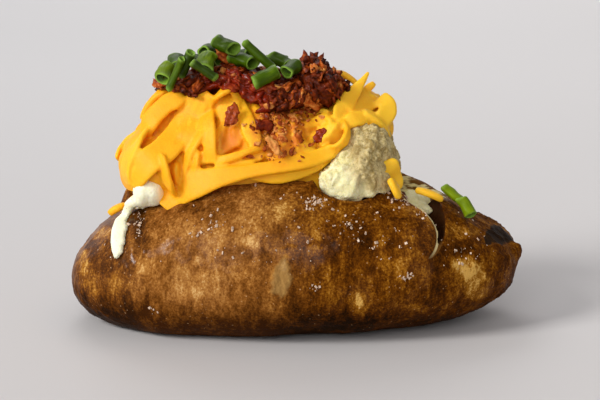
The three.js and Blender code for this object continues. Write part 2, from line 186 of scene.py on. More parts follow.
def step(value, low, high):
    """0 below low, 1 above high, and smooth between them."""
    settings = {"interpolation_type": "SMOOTHSTEP"}
    if low > high:
        return 1 - step(value, high, low)
    return value.node("MapRange", settings, {0: value, 1: low, 2: high, 3: 0, 4: 1})


def blend(share, without, full, mode="MIX"):
    settings = {"data_type": "RGBA", "blend_type": mode}
    return share.node("Mix", settings, {0: share, 6: without, 7: full}, output=2)


def coloured(value, *stops):
    """The colour that a value from 0 to 1 picks from a ramp."""
    return value.node("ValToRGB", {"stops": stops}, {0: value})


def stretched(place, *by):
    """A place with each of its axes scaled, which draws a pattern out along one of them."""
    return place.node("VectorMath", {"operation": "MULTIPLY"}, {0: place, 1: by})


def axis(place, name):
    return place.node("SeparateXYZ", inputs={0: place}, output="XYZ".index(name))


def spot(place, at, radii):
    """0 at the middle of an upright ellipsoid, 1 on its surface and more outside."""
    offset = place.node("VectorMath", {"operation": "SUBTRACT"}, {0: place, 1: at})
    shares = place.node("VectorMath", {"operation": "DIVIDE"}, {0: offset, 1: radii})
    return place.node("VectorMath", {"operation": "LENGTH"}, {0: shares}, output=1)


def bumped(height, depth):
    """A normal that follows a height from 0 to 1, this many millimetres deep."""
    return height.node("Bump", inputs={"Height": height, "Distance": depth * MM})


def attribute(start, name):
    return start.node("Attribute", {"attribute_name": name}, output=2)


def surface(start, **sockets):
    inputs = {name.replace("_", " "): value for name, value in sockets.items()}
    shader = start.node("BsdfPrincipled", inputs=inputs)
    start.node("OutputMaterial", inputs={"Surface": shader})


# %% [markdown]
# ## Tools for pieces
#
# Each piece is made in a bmesh. Four things come back for most of them: a copy of a solid of
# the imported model, the same form in small even faces, so that it can carry fine relief, several
# forms joined to one, and the last step, which makes an object of the bmesh and lets it stand for
# its solids.


# %% Tools for pieces
def copy_of(*names):
    """A bmesh in millimetres with copies of solids, their loose triangles merged."""
    bm = bmesh.new()
    for name in names:
        bm.from_mesh(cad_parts[name].data)
    bmesh.ops.transform(bm, matrix=Matrix.Scale(1 / MM, 4), verts=bm.verts)
    bmesh.ops.remove_doubles(bm, verts=bm.verts, dist=0.001)
    return bm


def even(bm, face):
    """Gives a closed bmesh small faces of one size, with a Remesh modifier."""
    mesh = bpy.data.meshes.new("coarse")
    bm.to_mesh(mesh)
    coarse = linked("coarse", mesh)
    remesh = coarse.modifiers.new("even", "REMESH")
    remesh.mode = "VOXEL"
    remesh.voxel_size = face
    fine = coarse.evaluated_get(bpy.context.evaluated_depsgraph_get())
    bm.clear()
    bm.from_mesh(fine.to_mesh())
    bpy.data.objects.remove(coarse)
    bpy.data.meshes.remove(mesh)
    return bm


def smoothed(bm, times, where=lambda p: True):
    """Irons out the facets of a bmesh where the rule says so."""
    verts = [v for v in bm.verts if where(v.co)]
    for _ in range(times):
        bmesh.ops.smooth_vert(bm, verts=verts, factor=0.5, use_axis_x=True, use_axis_y=True, use_axis_z=True)


def raised(bm, height):
    """Moves each vertex out along its normal by a height that depends on its place."""
    bm.normal_update()
    moves = [(v, v.normal * height(v.co)) for v in bm.verts]
    for vert, move in moves:
        vert.co += move


def ramp(value, low, high):
    """0 below low, 1 above high, and smooth between them."""
    share = min(max((value - low) / (high - low), 0), 1)
    return share * share * (3 - 2 * share)


def bell(value, width):
    """1 where the value is 0, and falling off on both sides."""
    return math.exp(-((value / width) ** 2))


def over(vector, radii):
    """A vector in units of three radii."""
    return Vector((c / r for c, r in zip(vector, radii)))


def mesh_of(name, bm):
    """Turns a bmesh into a mesh and frees it."""
    mesh = bpy.data.meshes.new(name)
    bm.to_mesh(mesh)
    bm.free()
    return mesh


def add(bm, other, **values):
    """Joins another bmesh to one, with a value in each layer that is named."""
    mesh = mesh_of("added", other)
    first = len(bm.verts)
    bm.from_mesh(mesh)
    bpy.data.meshes.remove(mesh)
    bm.verts.ensure_lookup_table()
    for layer, value in values.items():
        for vert in bm.verts[first:]:
            vert[bm.verts.layers.float[layer]] = value


def object_of(name, bm, made_of):
    """Makes an object of a bmesh, in metres at its place."""
    bmesh.ops.transform(bm, matrix=Matrix.Scale(MM, 4), verts=bm.verts)
    made = linked(name, mesh_of(name, bm))
    made.data.shade_smooth()
    made.data.materials.append(made_of)
    return made


def finished(name, bm, finish, slot, *nodes):
    """Makes a piece, with a material of its own, which stands for the nodes."""
    piece = object_of(name, bm, material(name, finish))
    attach(piece, "root")
    if nodes:
        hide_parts(*nodes)
    print(name, "has", sum(len(p.vertices) - 2 for p in piece.data.polygons), "triangles")
    return piece


# %% [markdown]
# ## The skin
#
# A baked russet has a thin brown skin, rough as bark, over pale flesh. Where it was slit, the
# flesh shows. Its relief has several scales: dents as wide as a thumb, wrinkles at the ends,
# where it dried most, and a fine grain. The wide ones are moved into the mesh, so that they
# also show at the outline, and the finest is left to the material's bump.
#
# The slit is an ellipsoid cut out of the potato, so one number tells flesh from skin: the
# distance from its middle in units of its radii. It is 1 on the cut face.

# %% Places on the potato
MOUTH = {"at": (-6, -1, 58), "radii": (62, 20, 34)}
DIP = {"at": (17, -21, 52), "radii": (11, 9, 8)}
SLOT = {"at": (42, -30, 46), "radii": (7.6, 26, 17)}
FLAP = {"at": (10, -34, 36), "radii": (36.5, 30, 16.8)}
LEFT_CREASE = {"x": -50.5, "z": (29, 47)}
FAR_LIP = Vector((-56.5, 9, 40))
STEM = Vector((74, -4, 24))
SIGHT_PLANE = -25


def inside(p, at, radii):
    """The distance of p from the middle of an ellipsoid, in units of its radii."""
    return over(p - Vector(at), radii).length


def off_the_cuts(p):
    return inside(p, **MOUTH) > 1.05 and inside(p, **DIP) > 1.08 and inside(p, **SLOT) > 1.1


def cut_by(vert, at, radii):
    """1 where the surface is the wall that an ellipsoid cut out: it faces its middle."""
    if inside(vert.co, at, radii) > 1.04:
        return 0
    inward = Vector((-o / (r * r) for o, r in zip(vert.co - Vector(at), radii)))
    return ramp(vert.normal.dot(inward.normalized()), 0.05, 0.4)


def as_seen(p):
    """x and z where the line of sight to p crosses an upright plane in front of the heap."""
    q = EYE + (p - EYE) * ((SIGHT_PLANE - EYE.y) / (p.y - EYE.y))
    return q.x, q.z


# %% [markdown]
# A potato is not one brown. Patches of its skin are named here by where they are seen from the
# front: x and z in the plane above, half a width, half a height and a strength. Noise bends their
# outlines. Each vertex keeps two sums of them, one for pale patches and one for dark ones. Three
# of the dark ones are painted shade, not marks of the skin: under the cheese at the rim, in the
# crease at the left end and in the dip before the left tip.

# %% Patches
PALE_PATCHES = [
    # tan and golden ones on the left half
    (-48.1, 24.4, 3.4, 3.2, 0.7),
    (-30.9, 25.4, 2.6, 1.6, 0.7),
    (-15.2, 32, 4.2, 2.4, 0.7),
    (-59, 17.8, 5.5, 4.6, 0.5),
    (-35.3, 16.9, 7.5, 6.5, 0.3),
    (-14.8, 38.6, 4.5, 6.5, 0.5),
    (-26, 34.3, 8.5, 5.5, 0.35),
    (-20, 22, 9, 4, 0.25),
    (-61.6, 35.3, 4, 2.4, 0.7),
    (-68, 26, 2, 5, 0.7),
    # golden ones on the right half
    (-4.3, 41.9, 3.2, 3, 0.6),
    (6.9, 36.9, 2.2, 3.6, 0.6),
    (20.1, 11.3, 2.6, 4.6, 0.6),
    (39.6, 10.6, 3, 2.4, 0.5),
    (27.4, 33, 2.4, 3, 0.5),
    (53.1, 34.9, 4.4, 2.6, 0.45),
    (54.3, 24.4, 3.6, 4.2, 1),
    (58, 21.4, 3.8, 4.2, 0.9),
    (63, 26.4, 3, 2.4, 0.4),
    (57.5, 15.5, 3, 3.2, 0.6),
    (66, 22, 2, 5, 0.4),
    (34, 23, 2.4, 4.5, 0.3),
]
DARK_PATCHES_AND_PAINTED_SHADE = [
    (10.5, 28.4, 3.6, 3.8, 0.6),
    (23.9, 27.7, 2.4, 6.2, 0.5),
    (41.2, 33.6, 3.8, 5.5, 0.6),
    (-47.5, 13.2, 2.6, 2.2, 0.6),
    (17.5, 6, 16, 3, 0.5),
    (-12.9, 28.7, 3.4, 2.2, 0.4),
    # the next row is painted shade under the cheese at the rim
    (-33.7, 44.2, 6.8, 2.4, 0.6),
    (45.7, 25.4, 4.2, 5, 0.6),
    (43.1, 14.6, 6.4, 4.6, 0.5),
    (51.1, 29.4, 4.6, 2.2, 0.5),
    (68, 20, 4.6, 8, 0.7),
    (-54, 9, 8, 3, 0.4),
    (0, 31, 4, 5, 0.25),
    # the next two rows are painted shade, in the crease at the left end and in the dip before the left tip
    (-50, 37.5, 2.4, 8, 0.9),
    (-56, 31, 3, 7, 0.8),
    (-65, 30, 2, 4, 0.8),
    (-62, 24, 4, 4, 0.5),
    (17, 33, 10, 6, 0.35),
]
EYE_SCAR = (-4.4, 20.6, 3.0, 7.2)
CHAR_PATCH = (66.4, 35.0, 5.6, 3.6, 1)


def patched(p, rows):
    """The strength of all the patches at a place."""
    x, z = as_seen(p)
    bent = 1.5 * noise.noise_vector(p / 4) + 0.7 * noise.noise_vector(p / 1.7)
    x, z = x + bent.x, z + bent.z
    return sum(s * ramp(math.hypot((x - u) / w, (z - v) / h), 1.35, 0.5) for u, v, w, h, s in rows)


# %% Relief of the skin
def scarred(p):
    """1 on the eye's scar, a lens that narrows upwards, and 0 outside it."""
    x, z = as_seen(p)
    u, v, wide, high = EYE_SCAR
    tall = (z - v) / high
    ragged = 0.25 * noise.noise(p / 1.8)
    return ramp(math.hypot((x - u - 0.8 * tall) / (wide * (1 - 0.35 * tall)), tall) + ragged, 1.1, 0.75)


def skin_height(p):
    dents = 0.7 * noise.noise(p / 15) + 0.3 * noise.noise(p / 6)
    pits = 0.1 * noise.noise(p / 2.1) + 0.07 * noise.noise(p / 1.1)
    ends = ramp(abs(p.x), 44, 66)
    folds = 1 - abs(noise.noise(Vector((p.x / 7, p.y / 5, p.z / 4.2)) + Vector((7, 3, 1))))
    wrinkles = ends * (0.25 if p.x < 0 else 0.6) * (folds**6 - 0.5)
    stem = (p - STEM).length
    nub = 1.4 * bell(stem, 2.4) - 0.7 * bell(stem - 6, 3)
    if p.y > 0:
        return dents + pits + wrinkles + nub
    x, z = as_seen(p)
    slit = bell(x - EYE_SCAR[0] + 0.3, 0.5) * bell(z - EYE_SCAR[1] + 2, 1.5)
    low, high = LEFT_CREASE["z"]
    along = ramp(p.z, low - 4, low + 2) * ramp(p.z, high + 4, high - 2)
    across = p.x - LEFT_CREASE["x"] - 0.06 * (p.z - low)
    crease = along * (0.6 * bell(across - 2, 1.4) - 1.7 * bell(across, 1.1))
    return dents + pits + wrinkles + nub + 0.3 * scarred(p) - 0.8 * slit + crease


# %% The skin in small faces
skin = even(copy_of("potato"), face=0.72)
smoothed(skin, 24, off_the_cuts)
smoothed(skin, 2)
layers = {name: skin.verts.layers.float.new(name) for name in ("pale", "dark", "scar", "char", "flesh")}
skin.normal_update()
for vert in skin.verts:
    if vert.co.y < 4:
        fade = ramp(vert.co.y, 4, -10)
        vert[layers["pale"]] = fade * patched(vert.co, PALE_PATCHES)
        # dark patches of the skin, with painted shade among them
        vert[layers["dark"]] = fade * patched(vert.co, DARK_PATCHES_AND_PAINTED_SHADE)
        vert[layers["scar"]] = fade * scarred(vert.co)
    vert[layers["char"]] = ramp(vert.co.y, 10, 2) * patched(vert.co, [CHAR_PATCH])
    vert[layers["flesh"]] = cut_by(vert, **MOUTH)
raised(skin, lambda p: skin_height(p) * ramp(p.z, 0.2, 3) * (1 if off_the_cuts(p) else 0.4))
for vert in skin.verts:
    off = vert.co - FAR_LIP
    if vert.co.y > 0 and off.x**2 + off.y**2 < 100:
        near = bell(off.x, 2.6) * bell(off.y, 3)
        vert.co.z += 6 * ramp(vert.co.z, 24, 34) * near
        vert[layers["pale"]] = 0.9 * near
skin_tree = BVHTree.FromBMesh(skin)
print("skin vertices", len(skin.verts))

# %% [markdown]
# The colour of the skin is read from two ramps, tans for the left half and browns for the right.
# What reads them is noise at several scales, with the patches added: broad stains, blotches and
# fibres that run up and down, and a fine net of specks. The colour darkens towards the underside.
# Oil makes the skin gleam in places, most at the left end.


# %% Finish of the skin
def skin_finish(start):
    place = place_in_mm(start)
    x, z = axis(place, "X"), axis(place, "Z")
    upright = stretched(place, 1, 1, 0.4)
    stains = grain(place, 22, 2)
    blotches = grain(upright, 4.6, 4, 0.6)
    fibres = grain(upright, 1.4, 3, 0.6)
    speckle = grain(place, 0.7, 3, 0.7)
    tone = 0.48 + 0.45 * (stains - 0.5) + 0.9 * (blotches - 0.5)
    tone = tone + 0.8 * (fibres - 0.5) + 1.0 * (speckle - 0.5)
    # the dark patches, some of them painted shade, darken the tone
    tone = tone + 0.36 * attribute(start, "pale") - 0.3 * attribute(start, "dark")
    on_right = step(x, 0, 30)
    # darker towards the underside, a little less so on the right
    tone = tone - (0.45 - 0.13 * on_right) * step(z + 8 * (blotches - 0.5), 19, 3) + 0.04 * on_right
    tans = (0, 62, 30, 4), (0.3, 102, 58, 14), (0.52, 136, 84, 32), (0.75, 172, 118, 56), (1, 212, 168, 106)
    browns = (0, 30, 13, 0), (0.3, 70, 34, 1), (0.52, 104, 56, 4), (0.75, 152, 97, 20), (1, 214, 166, 84)
    left, right = coloured(tone, *tans), coloured(tone, *browns)
    brown = blend(step(x + 14 * (stains - 0.5), -22, 12), left, right)
    ruddy = step(x + 8 * (blotches - 0.5), -44, -58)
    brown = blend(ruddy * 0.8, brown, right)
    flecks = step(cells(place, 1.9), 0.16, 0.08) * step(speckle, 0.5, 0.6)
    brown = blend(flecks * 0.5, brown, srgb(222, 184, 140))
    scar = blend(fibres, srgb(96, 60, 18), srgb(196, 156, 92))
    brown = blend(attribute(start, "scar") * 0.75, brown, scar)
    charred = step(attribute(start, "char") + 0.5 * (blotches - 0.5), 0.25, 0.6)
    brown = blend(charred * 0.92, brown, srgb(30, 22, 16))

    layers = step(grain(stretched(place, 0.2, 0.5, 1), 1.1, 2), 0.42, 0.6)
    flesh = blend(layers, srgb(112, 74, 32), srgb(232, 216, 160))
    split = step(spot(place, **SLOT), 1.03, 1.01)
    off_flap = spot(place, **FLAP)
    on_flap = step(off_flap, 1.06, 1.03)
    flap_rim = step(off_flap, 0.968, 0.98) * step(off_flap, 1.005, 0.995) * step(z, 28, 33)
    colour = blend(attribute(start, "flesh"), brown, flesh)
    # painted shade: the walls of the slot are painted dark brown, and the flap's cut face, except its pale
    # rim, a mid brown
    dark = blend(stains, srgb(24, 11, 3), srgb(66, 34, 12))
    colour = blend(split * (1 - on_flap), colour, dark)
    colour = blend(split * on_flap * step(off_flap, 0.985, 1.0), colour, srgb(112, 72, 28))
    colour = blend(split * flap_rim, colour, srgb(224, 204, 148))

    oil = step(stains + 0.4 * (blotches - 0.5) + 0.3 * ruddy, 0.5, 0.62)
    relief = (0.5 * speckle + 0.3 * fibres + 0.2 * blotches) * (1 - 0.6 * ruddy)
    surface(
        start,
        Base_Color=colour,
        Roughness=0.6 - 0.15 * ruddy + 0.2 * (speckle - 0.5),
        Specular_IOR_Level=0.02,
        Normal=bumped(relief, 0.5),
        Coat_Weight=0.02 + 0.15 * oil * step(z, 8, 20) + 0.24 * ruddy * step(z, 15, 28),
        Coat_Roughness=0.16,
    )


finished("baked_skin", skin, skin_finish, "skin", "potato")

# %% [markdown]
# ## The filling
#
# Whipped potato and soft cheese are pale and crumbly. A Voronoi pattern gives curds: its
# distance to the second nearest cell, less that to the nearest, is 0 between two curds and
# grows inside each. The dollop and the run at the left end are smoother.


# %% Relief of the filling
def curd_height(p):
    if p.x < -44:
        swollen = 0.75 * ramp(p.x, -47, -50)
        neck = 0.55 * bell(p.z - 39.5, 3.4)
        return 0.15 * noise.noise(p / 4) + swollen - neck
    crumbly = ramp(p.x, -36, -10)
    top = ramp(p.z, 46, 56)
    squashed = Vector((p.x, p.y, p.z * 0.6)) + 1.2 * noise.noise_vector(p / 3)
    (near, far, *_), _ = noise.voronoi(squashed / 3.6)
    curds = 0.9 * (ramp(far - near, 0, 0.4) - 0.7)
    (near, far, *_), _ = noise.voronoi(squashed / 1.5 + Vector((5, 5, 5)))
    crumbs = 0.45 * (ramp(far - near, 0, 0.4) - 0.6)
    fine = 0.25 * noise.noise(p / 0.9)
    facets = 1.3 * noise.noise(Vector((p.x / 3, p.y / 3, p.z / 11)))
    soft = 0.3 * noise.noise(p / 3.2)
    crumble = top * (curds + crumbs) + (1 - top) * (facets + 0.5 * crumbs) + fine
    return crumbly * crumble + (1 - crumbly) * soft


# %% The filling in small faces
filling = even(copy_of("filling"), face=0.6)
smoothed(filling, 4)
raised(filling, curd_height)
for vert in filling.verts:
    vert.co.z -= 2 * ramp(vert.co.x, 31, 36) * ramp(vert.co.z, 36, 42)
    if vert.co.x < -47:
        vert.co.x += (-47 - vert.co.x) * 0.22 * ramp(vert.co.z, 42, 46)
print("filling vertices", len(filling.verts))


# %% Finish of the filling
def filling_finish(start):
    place = place_in_mm(start)
    lumps = grain(place, 3.2, 4, 0.6)
    crumbs = grain(place, 0.8, 3, 0.6)
    x, z = axis(place, "X"), axis(place, "Z")
    creams = (0.3, 186, 170, 106), (0.45, 224, 214, 152), (0.62, 248, 243, 204)
    crumbly = step(z, 50, 60)
    uneven = (0.6 * lumps + 0.4 * crumbs - 0.5) * (0.45 + 0.55 * crumbly)
    # the crumbly top is a little darker
    cream = coloured(uneven + 0.53 - 0.04 * crumbly, *creams)
    # painted shade: a band over the upper right of the mound, where the heap shades it, is painted in tans
    upper_mound_shade = step(x + 0.5 * z + 12 * (lumps - 0.5), 42, 49) * step(z, 46, 50)
    painted_shade_tans = blend(step(lumps + 0.5 * (crumbs - 0.5), 0.35, 0.65), srgb(152, 124, 66), srgb(206, 184, 128))
    cream = blend(upper_mound_shade * 0.9, cream, painted_shade_tans)
    # the dollop and the run at the left end are near white: pale of their own, and painted lighter still
    # where the cheese shades them
    cream = blend(step(x, -34, -40), cream, srgb(255, 253, 220))
    # small dark specks over the filling
    dark_specks = step(cells(place, 2.3), 0.1, 0.06)
    surface(
        start,
        Base_Color=blend(dark_specks * 0.55, cream, srgb(96, 88, 62)),
        Roughness=0.45 + 0.2 * crumbs,
        Specular_IOR_Level=0.3,
        Normal=bumped(0.5 * lumps + 0.5 * crumbs, 0.5),
        Subsurface_Weight=0.25,
        Subsurface_Radius=(0.003, 0.0024, 0.0012),
        Subsurface_Scale=1.0,
    )


finished("whipped_filling", filling, filling_finish, "filling", "filling")

# %% [markdown]
# ## The cheese
#
# Shredded cheddar falls into a loose heap, each shred a soft bar that bends over what it lies
# on. The ones in front are laid one by one, as the eye sees them, the others by chance. A point
# of a path is given by two numbers, x and z, where its line of sight crosses an upright plane
# in front of the heap, and by a lift off what that line meets. That needs a surface to meet:
# the potato, the filling and the three lobes that the heap is made of.

# %% The ground that shreds lie on
HUB = Vector((-12, 0, 50))
LOBES = [
    ((-15, 0, 47.5), (40, 22, 29.5)),
    ((-45, -2, 52.5), (14, 19, 13.5)),
    ((16, 3, 64.5), (14.5, 18, 10.5)),
]
HEAP_FLOOR = 43.8

ground = copy_of("potato", "filling")
for at, radii in LOBES:
    placed = Matrix.Translation(at) @ Matrix.Diagonal((*radii, 1))
    bmesh.ops.create_icosphere(ground, subdivisions=4, radius=1, matrix=placed)
ground_tree = BVHTree.FromBMesh(ground)
ground.free()


def seen(x, z, lift=0, y=None, tree=ground_tree):
    """Where a line of sight ends, lifted towards the eye, or where it passes a given y."""
    sight = Vector((x, SIGHT_PLANE, z)) - EYE
    if y is not None:
        return EYE + sight * ((y - EYE.y) / sight.y)
    sight.normalize()
    hit, normal, _, _ = tree.ray_cast(EYE, sight)
    if hit is None:
        return EYE + sight * (-EYE.y / sight.y)
    return hit + sight * (lift * sight.dot(normal))


print("the middle of the front is met at", seen(0, 40))

# %% [markdown]
# One straight bar is made once, as a cylinder with many rings and softened ends. Each shred is
# a copy of it whose rings are carried to points along a smooth curve: Bezier pieces whose
# handles point along the line between the neighbours pass through all the given points.

# %% One bar
RINGS = 26
SQUARE = 0.45  # the power that makes the round section of the bar a square one


def straight_bar():
    bm = bmesh.new()
    bmesh.ops.create_cone(bm, cap_ends=True, segments=16, radius1=1, radius2=1, depth=1)
    rims = [e for e in bm.edges if e.verts[0].co.z == e.verts[1].co.z]
    bmesh.ops.bevel(bm, geom=rims, offset=0.012, affect="EDGES", segments=2, profile=0.5, material=-1)
    lengthwise = [e for e in bm.edges if abs(e.verts[0].co.z - e.verts[1].co.z) > 0.5]
    bmesh.ops.subdivide_edges(bm, edges=lengthwise, cuts=RINGS - 1)
    return mesh_of("bar", bm)


bar = straight_bar()


def even_path(points, steps):
    """Points at even steps along a smooth curve through the given ones."""
    ends = [2 * points[0] - points[1], *points, 2 * points[-1] - points[-2]]
    fine = []
    for before, start, end, after in zip(ends, ends[1:], ends[2:], ends[3:]):
        handles = (start + (end - before) / 6, end - (after - start) / 6)
        fine += interpolate_bezier(start, *handles, end, 20)
    lengths = [0]
    for one, other in zip(fine, fine[1:]):
        lengths.append(lengths[-1] + (other - one).length)
    path, i = [], 0
    for k in range(steps + 1):
        wanted = lengths[-1] * k / steps
        while i < len(fine) - 2 and lengths[i + 1] < wanted:
            i += 1
        span = lengths[i + 1] - lengths[i] or 1
        path.append(fine[i].lerp(fine[i + 1], (wanted - lengths[i]) / span))
    return path


# %% Laying a shred
def out_of_heap(p):
    return (p - HUB).normalized()


def width_at(width, t):
    """One width, drawn in at both ends, or what lies between the two nearest of a list."""
    if not isinstance(width, list):
        return width * (1 - 0.45 * abs(2 * t - 1) ** 6)
    place = t * (len(width) - 1)
    before = min(int(place), len(width) - 2)
    return width[before] + (width[before + 1] - width[before]) * (place - before)


def lay_shred(bm, points, width, thickness, draw, facing=None, twist=0.0):
    """Adds a copy of the bar, bent along points, its flat side facing a way or out of the heap."""
    path = even_path(points, RINGS)
    tangents = [(path[min(i + 1, RINGS)] - path[max(i - 1, 0)]).normalized() for i in range(RINGS + 1)]
    phase = draw.uniform(0, 100)
    tint = draw.random()
    first = len(bm.verts)
    bm.from_mesh(bar)
    bm.verts.ensure_lookup_table()
    for vert in bm.verts[first:]:
        t = min(max(vert.co.z + 0.5, 0), 1)
        i = min(int(t * RINGS), RINGS - 1)
        centre = path[i].lerp(path[i + 1], t * RINGS - i)
        tangent = tangents[i].lerp(tangents[i + 1], t * RINGS - i)
        outward = out_of_heap(centre) if facing is None else facing
        side = outward.cross(tangent).normalized()
        outward = tangent.cross(side)
        turn = twist * (t - 0.5) + 0.12 * noise.noise(Vector((phase, 3 * t, 0)))
        side, outward = (
            side * math.cos(turn) + outward * math.sin(turn),
            outward * math.cos(turn) - side * math.sin(turn),
        )
        ends = 0.75 + 0.25 * (1 - abs(2 * t - 1) ** 6)
        uneven = 1 + 0.14 * noise.noise(Vector((phase, 5 * t, vert.co.x)))
        across, through = (math.copysign(abs(c) ** SQUARE, c) for c in vert.co.xy)
        vert.co = (
            centre
            + side * (across * width_at(width, t) / 2 * uneven)
            + outward * (through * thickness / 2 * ends * uneven)
        )
        vert[bm.verts.layers.float["tint"]] = tint


# %% [markdown]
# These are the shreds that give the heap its look from the front: a long one along the rim of
# the slit that ends in a loop, a blade that stands up on the right, broad soft ones that make
# the left end, and two that lean on each other like a tent, with a smooth hollow between them.
# A row is a width, the way that the flat side faces, or None for out of the heap, and the points.
# A width is one number, or a list of widths at even steps along the shred. A point has a lift, or
# a lift of 0 and the y of the upright plane in which it lies.

# %% The shreds in front
FRONT_SHREDS = [
    # the long one along the rim, the loop that ends it and the one below it
    ([5, 9.4, 10, 6.6, 4.7, 4.4, 4.8, 5.4, 5], (-0.3, -0.9, 0.4), [
        (-42, 43.3, 1.4), (-38.5, 46.8, 2.2), (-34, 50, 2.8), (-28.5, 52, 3.2), (-22.5, 53.7, 3.4),
        (-15, 55, 3.4), (-6.5, 56.5, 3.6), (1.5, 58, 3.6), (7.5, 60, 3.4), (12, 62, 3.2),
    ]),
    ([5, 4.8, 3.4, 2.6, 2], None, [
        (8, 60, 3.2), (12, 62, 3.2), (15.5, 65, 2.8), (16.5, 68.5, 2), (15, 71.5, 1.2),
    ]),
    ([2.5, 4.4, 4.4, 3], None, [
        (-14, 53.5, 1.4), (-6.5, 53, 1.8), (0, 54.5, 2), (6, 56.5, 2), (11, 59.5, 1.6),
    ]),
    # the blade that stands up on the right
    ([3.6, 6.6, 6.4, 4.4, 2.6, 1], (0.2, -1, 0.2), [
        (13.5, 71.5, 1), (14.5, 74, 0, -11), (16.5, 78, 0, -9), (18.5, 80.5, 0, -7.5), (21, 84, 0, -6),
        (23, 87, 0, -5),
    ]),
    # the broad soft ones that make the left end
    (6, None, [(-40, 81.5, 0.6), (-44, 79, 1), (-47, 75.5, 1.2), (-48.5, 72, 0.8)]),
    (7.5, (-0.3, -1, 0.3), [
        (-33, 83, 0, -1), (-39, 80.5, 0, -1), (-43.5, 76, 0, -2), (-46.5, 70, 0, -4),
    ]),
    (8, (-0.3, -1, 0.3), [(-28, 80, 0, -6), (-34, 76.5, 0, -6), (-40, 71, 0, -7), (-45, 64, 0, -9)]),
    (7, (-0.5, -1, 0.5), [
        (-35, 80, 0, -8), (-40, 77, 0, -9), (-43.5, 74, 0, -10), (-46, 70.5, 0, -11), (-47.5, 67, 1),
    ]),
    (9.5, None, [
        (-46.5, 68, 0.6), (-50.5, 63.5, 1), (-53, 59, 1), (-53.7, 54.5, 0.8), (-52.5, 50.5, 0.6),
    ]),
    (9.5, (-0.3, -0.9, 0.4), [
        (-29, 80.5, 0, -11), (-33.5, 73, 1.8), (-37.5, 66.5, 2), (-41.5, 62, 2), (-46, 58.5, 1.8),
        (-50, 54.5, 1.4), (-52, 50.5, 1),
    ]),
    (8.5, (-0.2, -0.9, 0.4), [
        (-27, 80.5, 0, -12), (-31, 73.5, 1.6), (-33, 67, 1.4), (-35.5, 61.5, 1.2),
    ]),
    (8, None, [(-43.5, 60, 0.8), (-42.3, 55.5, 1.1), (-41, 51.5, 1.3), (-39, 48.5, 1)]),
    # the two that lean together in the middle, like a tent, and the fan at the left one's side
    ([3, 4, 4.8, 5, 5, 4.6], None, [
        (-18, 82.5, 0, -11.5), (-23, 80.5, 0, -14), (-26.5, 76.5, 2.6), (-27.5, 72, 2.8),
        (-27, 67, 2.6), (-27, 62, 2.2), (-26.5, 57.5, 1.2),
    ]),
    ([3, 4.2, 5.2, 5.4, 4.6], None, [
        (-19.5, 81.5, 0, -12.5), (-17, 76, 2.4), (-15, 71, 2.8), (-13, 65.5, 2.2), (-11.5, 61.5, 1.2),
    ]),
    (8, (-0.2, -1, 0.3), [(-20.5, 81, 0, -9), (-21, 76, 0, -12.5), (-20.5, 70, 0)]),
    (3.6, None, [(-28.5, 69, 1.8), (-31, 65, 2), (-33.5, 60.5, 1.8), (-34.5, 56.5, 1.2)]),
    (3.2, None, [(-31, 62, 1.4), (-31.5, 58, 1.6), (-32, 53.5, 1)]),
    (3, None, [(-34.5, 58.5, 1), (-35, 55.5, 1.2), (-35.5, 52.5, 0.8)]),
    (4, None, [(-38, 58, 0.6), (-38.5, 55, 0.8), (-38, 51, 0.6)]),
    (9, (-0.2, -0.9, 0.4), [(-38.5, 63, 0), (-37, 57.5, 0.2), (-36.5, 51, 0.2)]),
    # the ones across their feet, the first of which ends in a point
    ([3.2, 3, 2.2, 1], None, [
        (-25.5, 58.5, 1.6), (-20.5, 59.5, 2.6), (-15, 61.5, 2.4), (-10.5, 62.5, 1.2),
    ]),
    (2.4, None, [(-24, 56.5, 1), (-18.5, 57.5, 1.4), (-12.5, 58, 1)]),
    # the ones under the bacon that has slid down
    (3.8, None, [(-12, 77.5, 1), (-10.5, 73, 1.6), (-8.5, 67.5, 1.2)]),
    (4.2, None, [(-7, 76, 1), (-5, 71, 1.8), (-3.5, 65.5, 1.4), (-2.5, 61.5, 1)]),
    (4, None, [(-1, 76.5, 1), (0, 71.5, 1.6), (1, 66, 1.4), (1.5, 61.5, 1)]),
    (3.4, None, [(10, 73, 1.8), (6.5, 71, 2.4), (2.5, 69.5, 1.2)]),
    (4, None, [(3.5, 74.5, 1.2), (7.5, 74.5, 1.6), (11, 74, 1.2)]),
    (4, None, [(-8.5, 59, 1), (-3.5, 60, 1.6), (1.5, 62, 1.6), (6, 64.5, 1)]),
    (5, None, [(14.5, 70.5, 1), (12.5, 67, 1.4), (8.5, 63, 1.4)]),
    (4.5, None, [(10.5, 70, 0.4), (8, 66.5, 0.6), (3.5, 62.5, 0.6)]),
    # the ones over the mound at the right, one of them bent like an arch
    (3.2, None, [(11.5, 87, 0, -3), (15.5, 86, 0, -2), (19, 83.5, 0, -1), (21.5, 80.5, 0, -1)]),
    (2.4, None, [(20, 79, 0, 0), (22.5, 81.5, 0, 1), (25, 83.5, 0, 2)]),
    (5.6, None, [(17, 74.5, 1), (20.5, 76.5, 1.8), (24.5, 77, 0, -3), (28, 76.5, 0, -3)]),
    ([5, 6.4, 6.4, 5], (0.3, -1, 0.2), [
        (26.5, 79, 0, -3), (29, 76.5, 0, -5), (28.5, 73, 0, -7), (26, 70, 0, -9),
    ]),
    (5, None, [(16, 71, 0.6), (19, 72, 1), (22.5, 72.5, 1)]),
    (6, (0.2, -1, 0.2), [(29.5, 59, 0.6), (30.5, 56, 1), (31.3, 52.5, 1.2), (32.3, 49, 1)]),
]
SHRED_THICKNESS = 1.8

cheese = bmesh.new()
cheese.verts.layers.float.new("tint")
draw = random.Random(7)
for width, facing, places in FRONT_SHREDS:
    points = [seen(*place) for place in places]
    lay_shred(cheese, points, width, SHRED_THICKNESS, draw, facing and Vector(facing))
print(len(FRONT_SHREDS), "shreds in front")

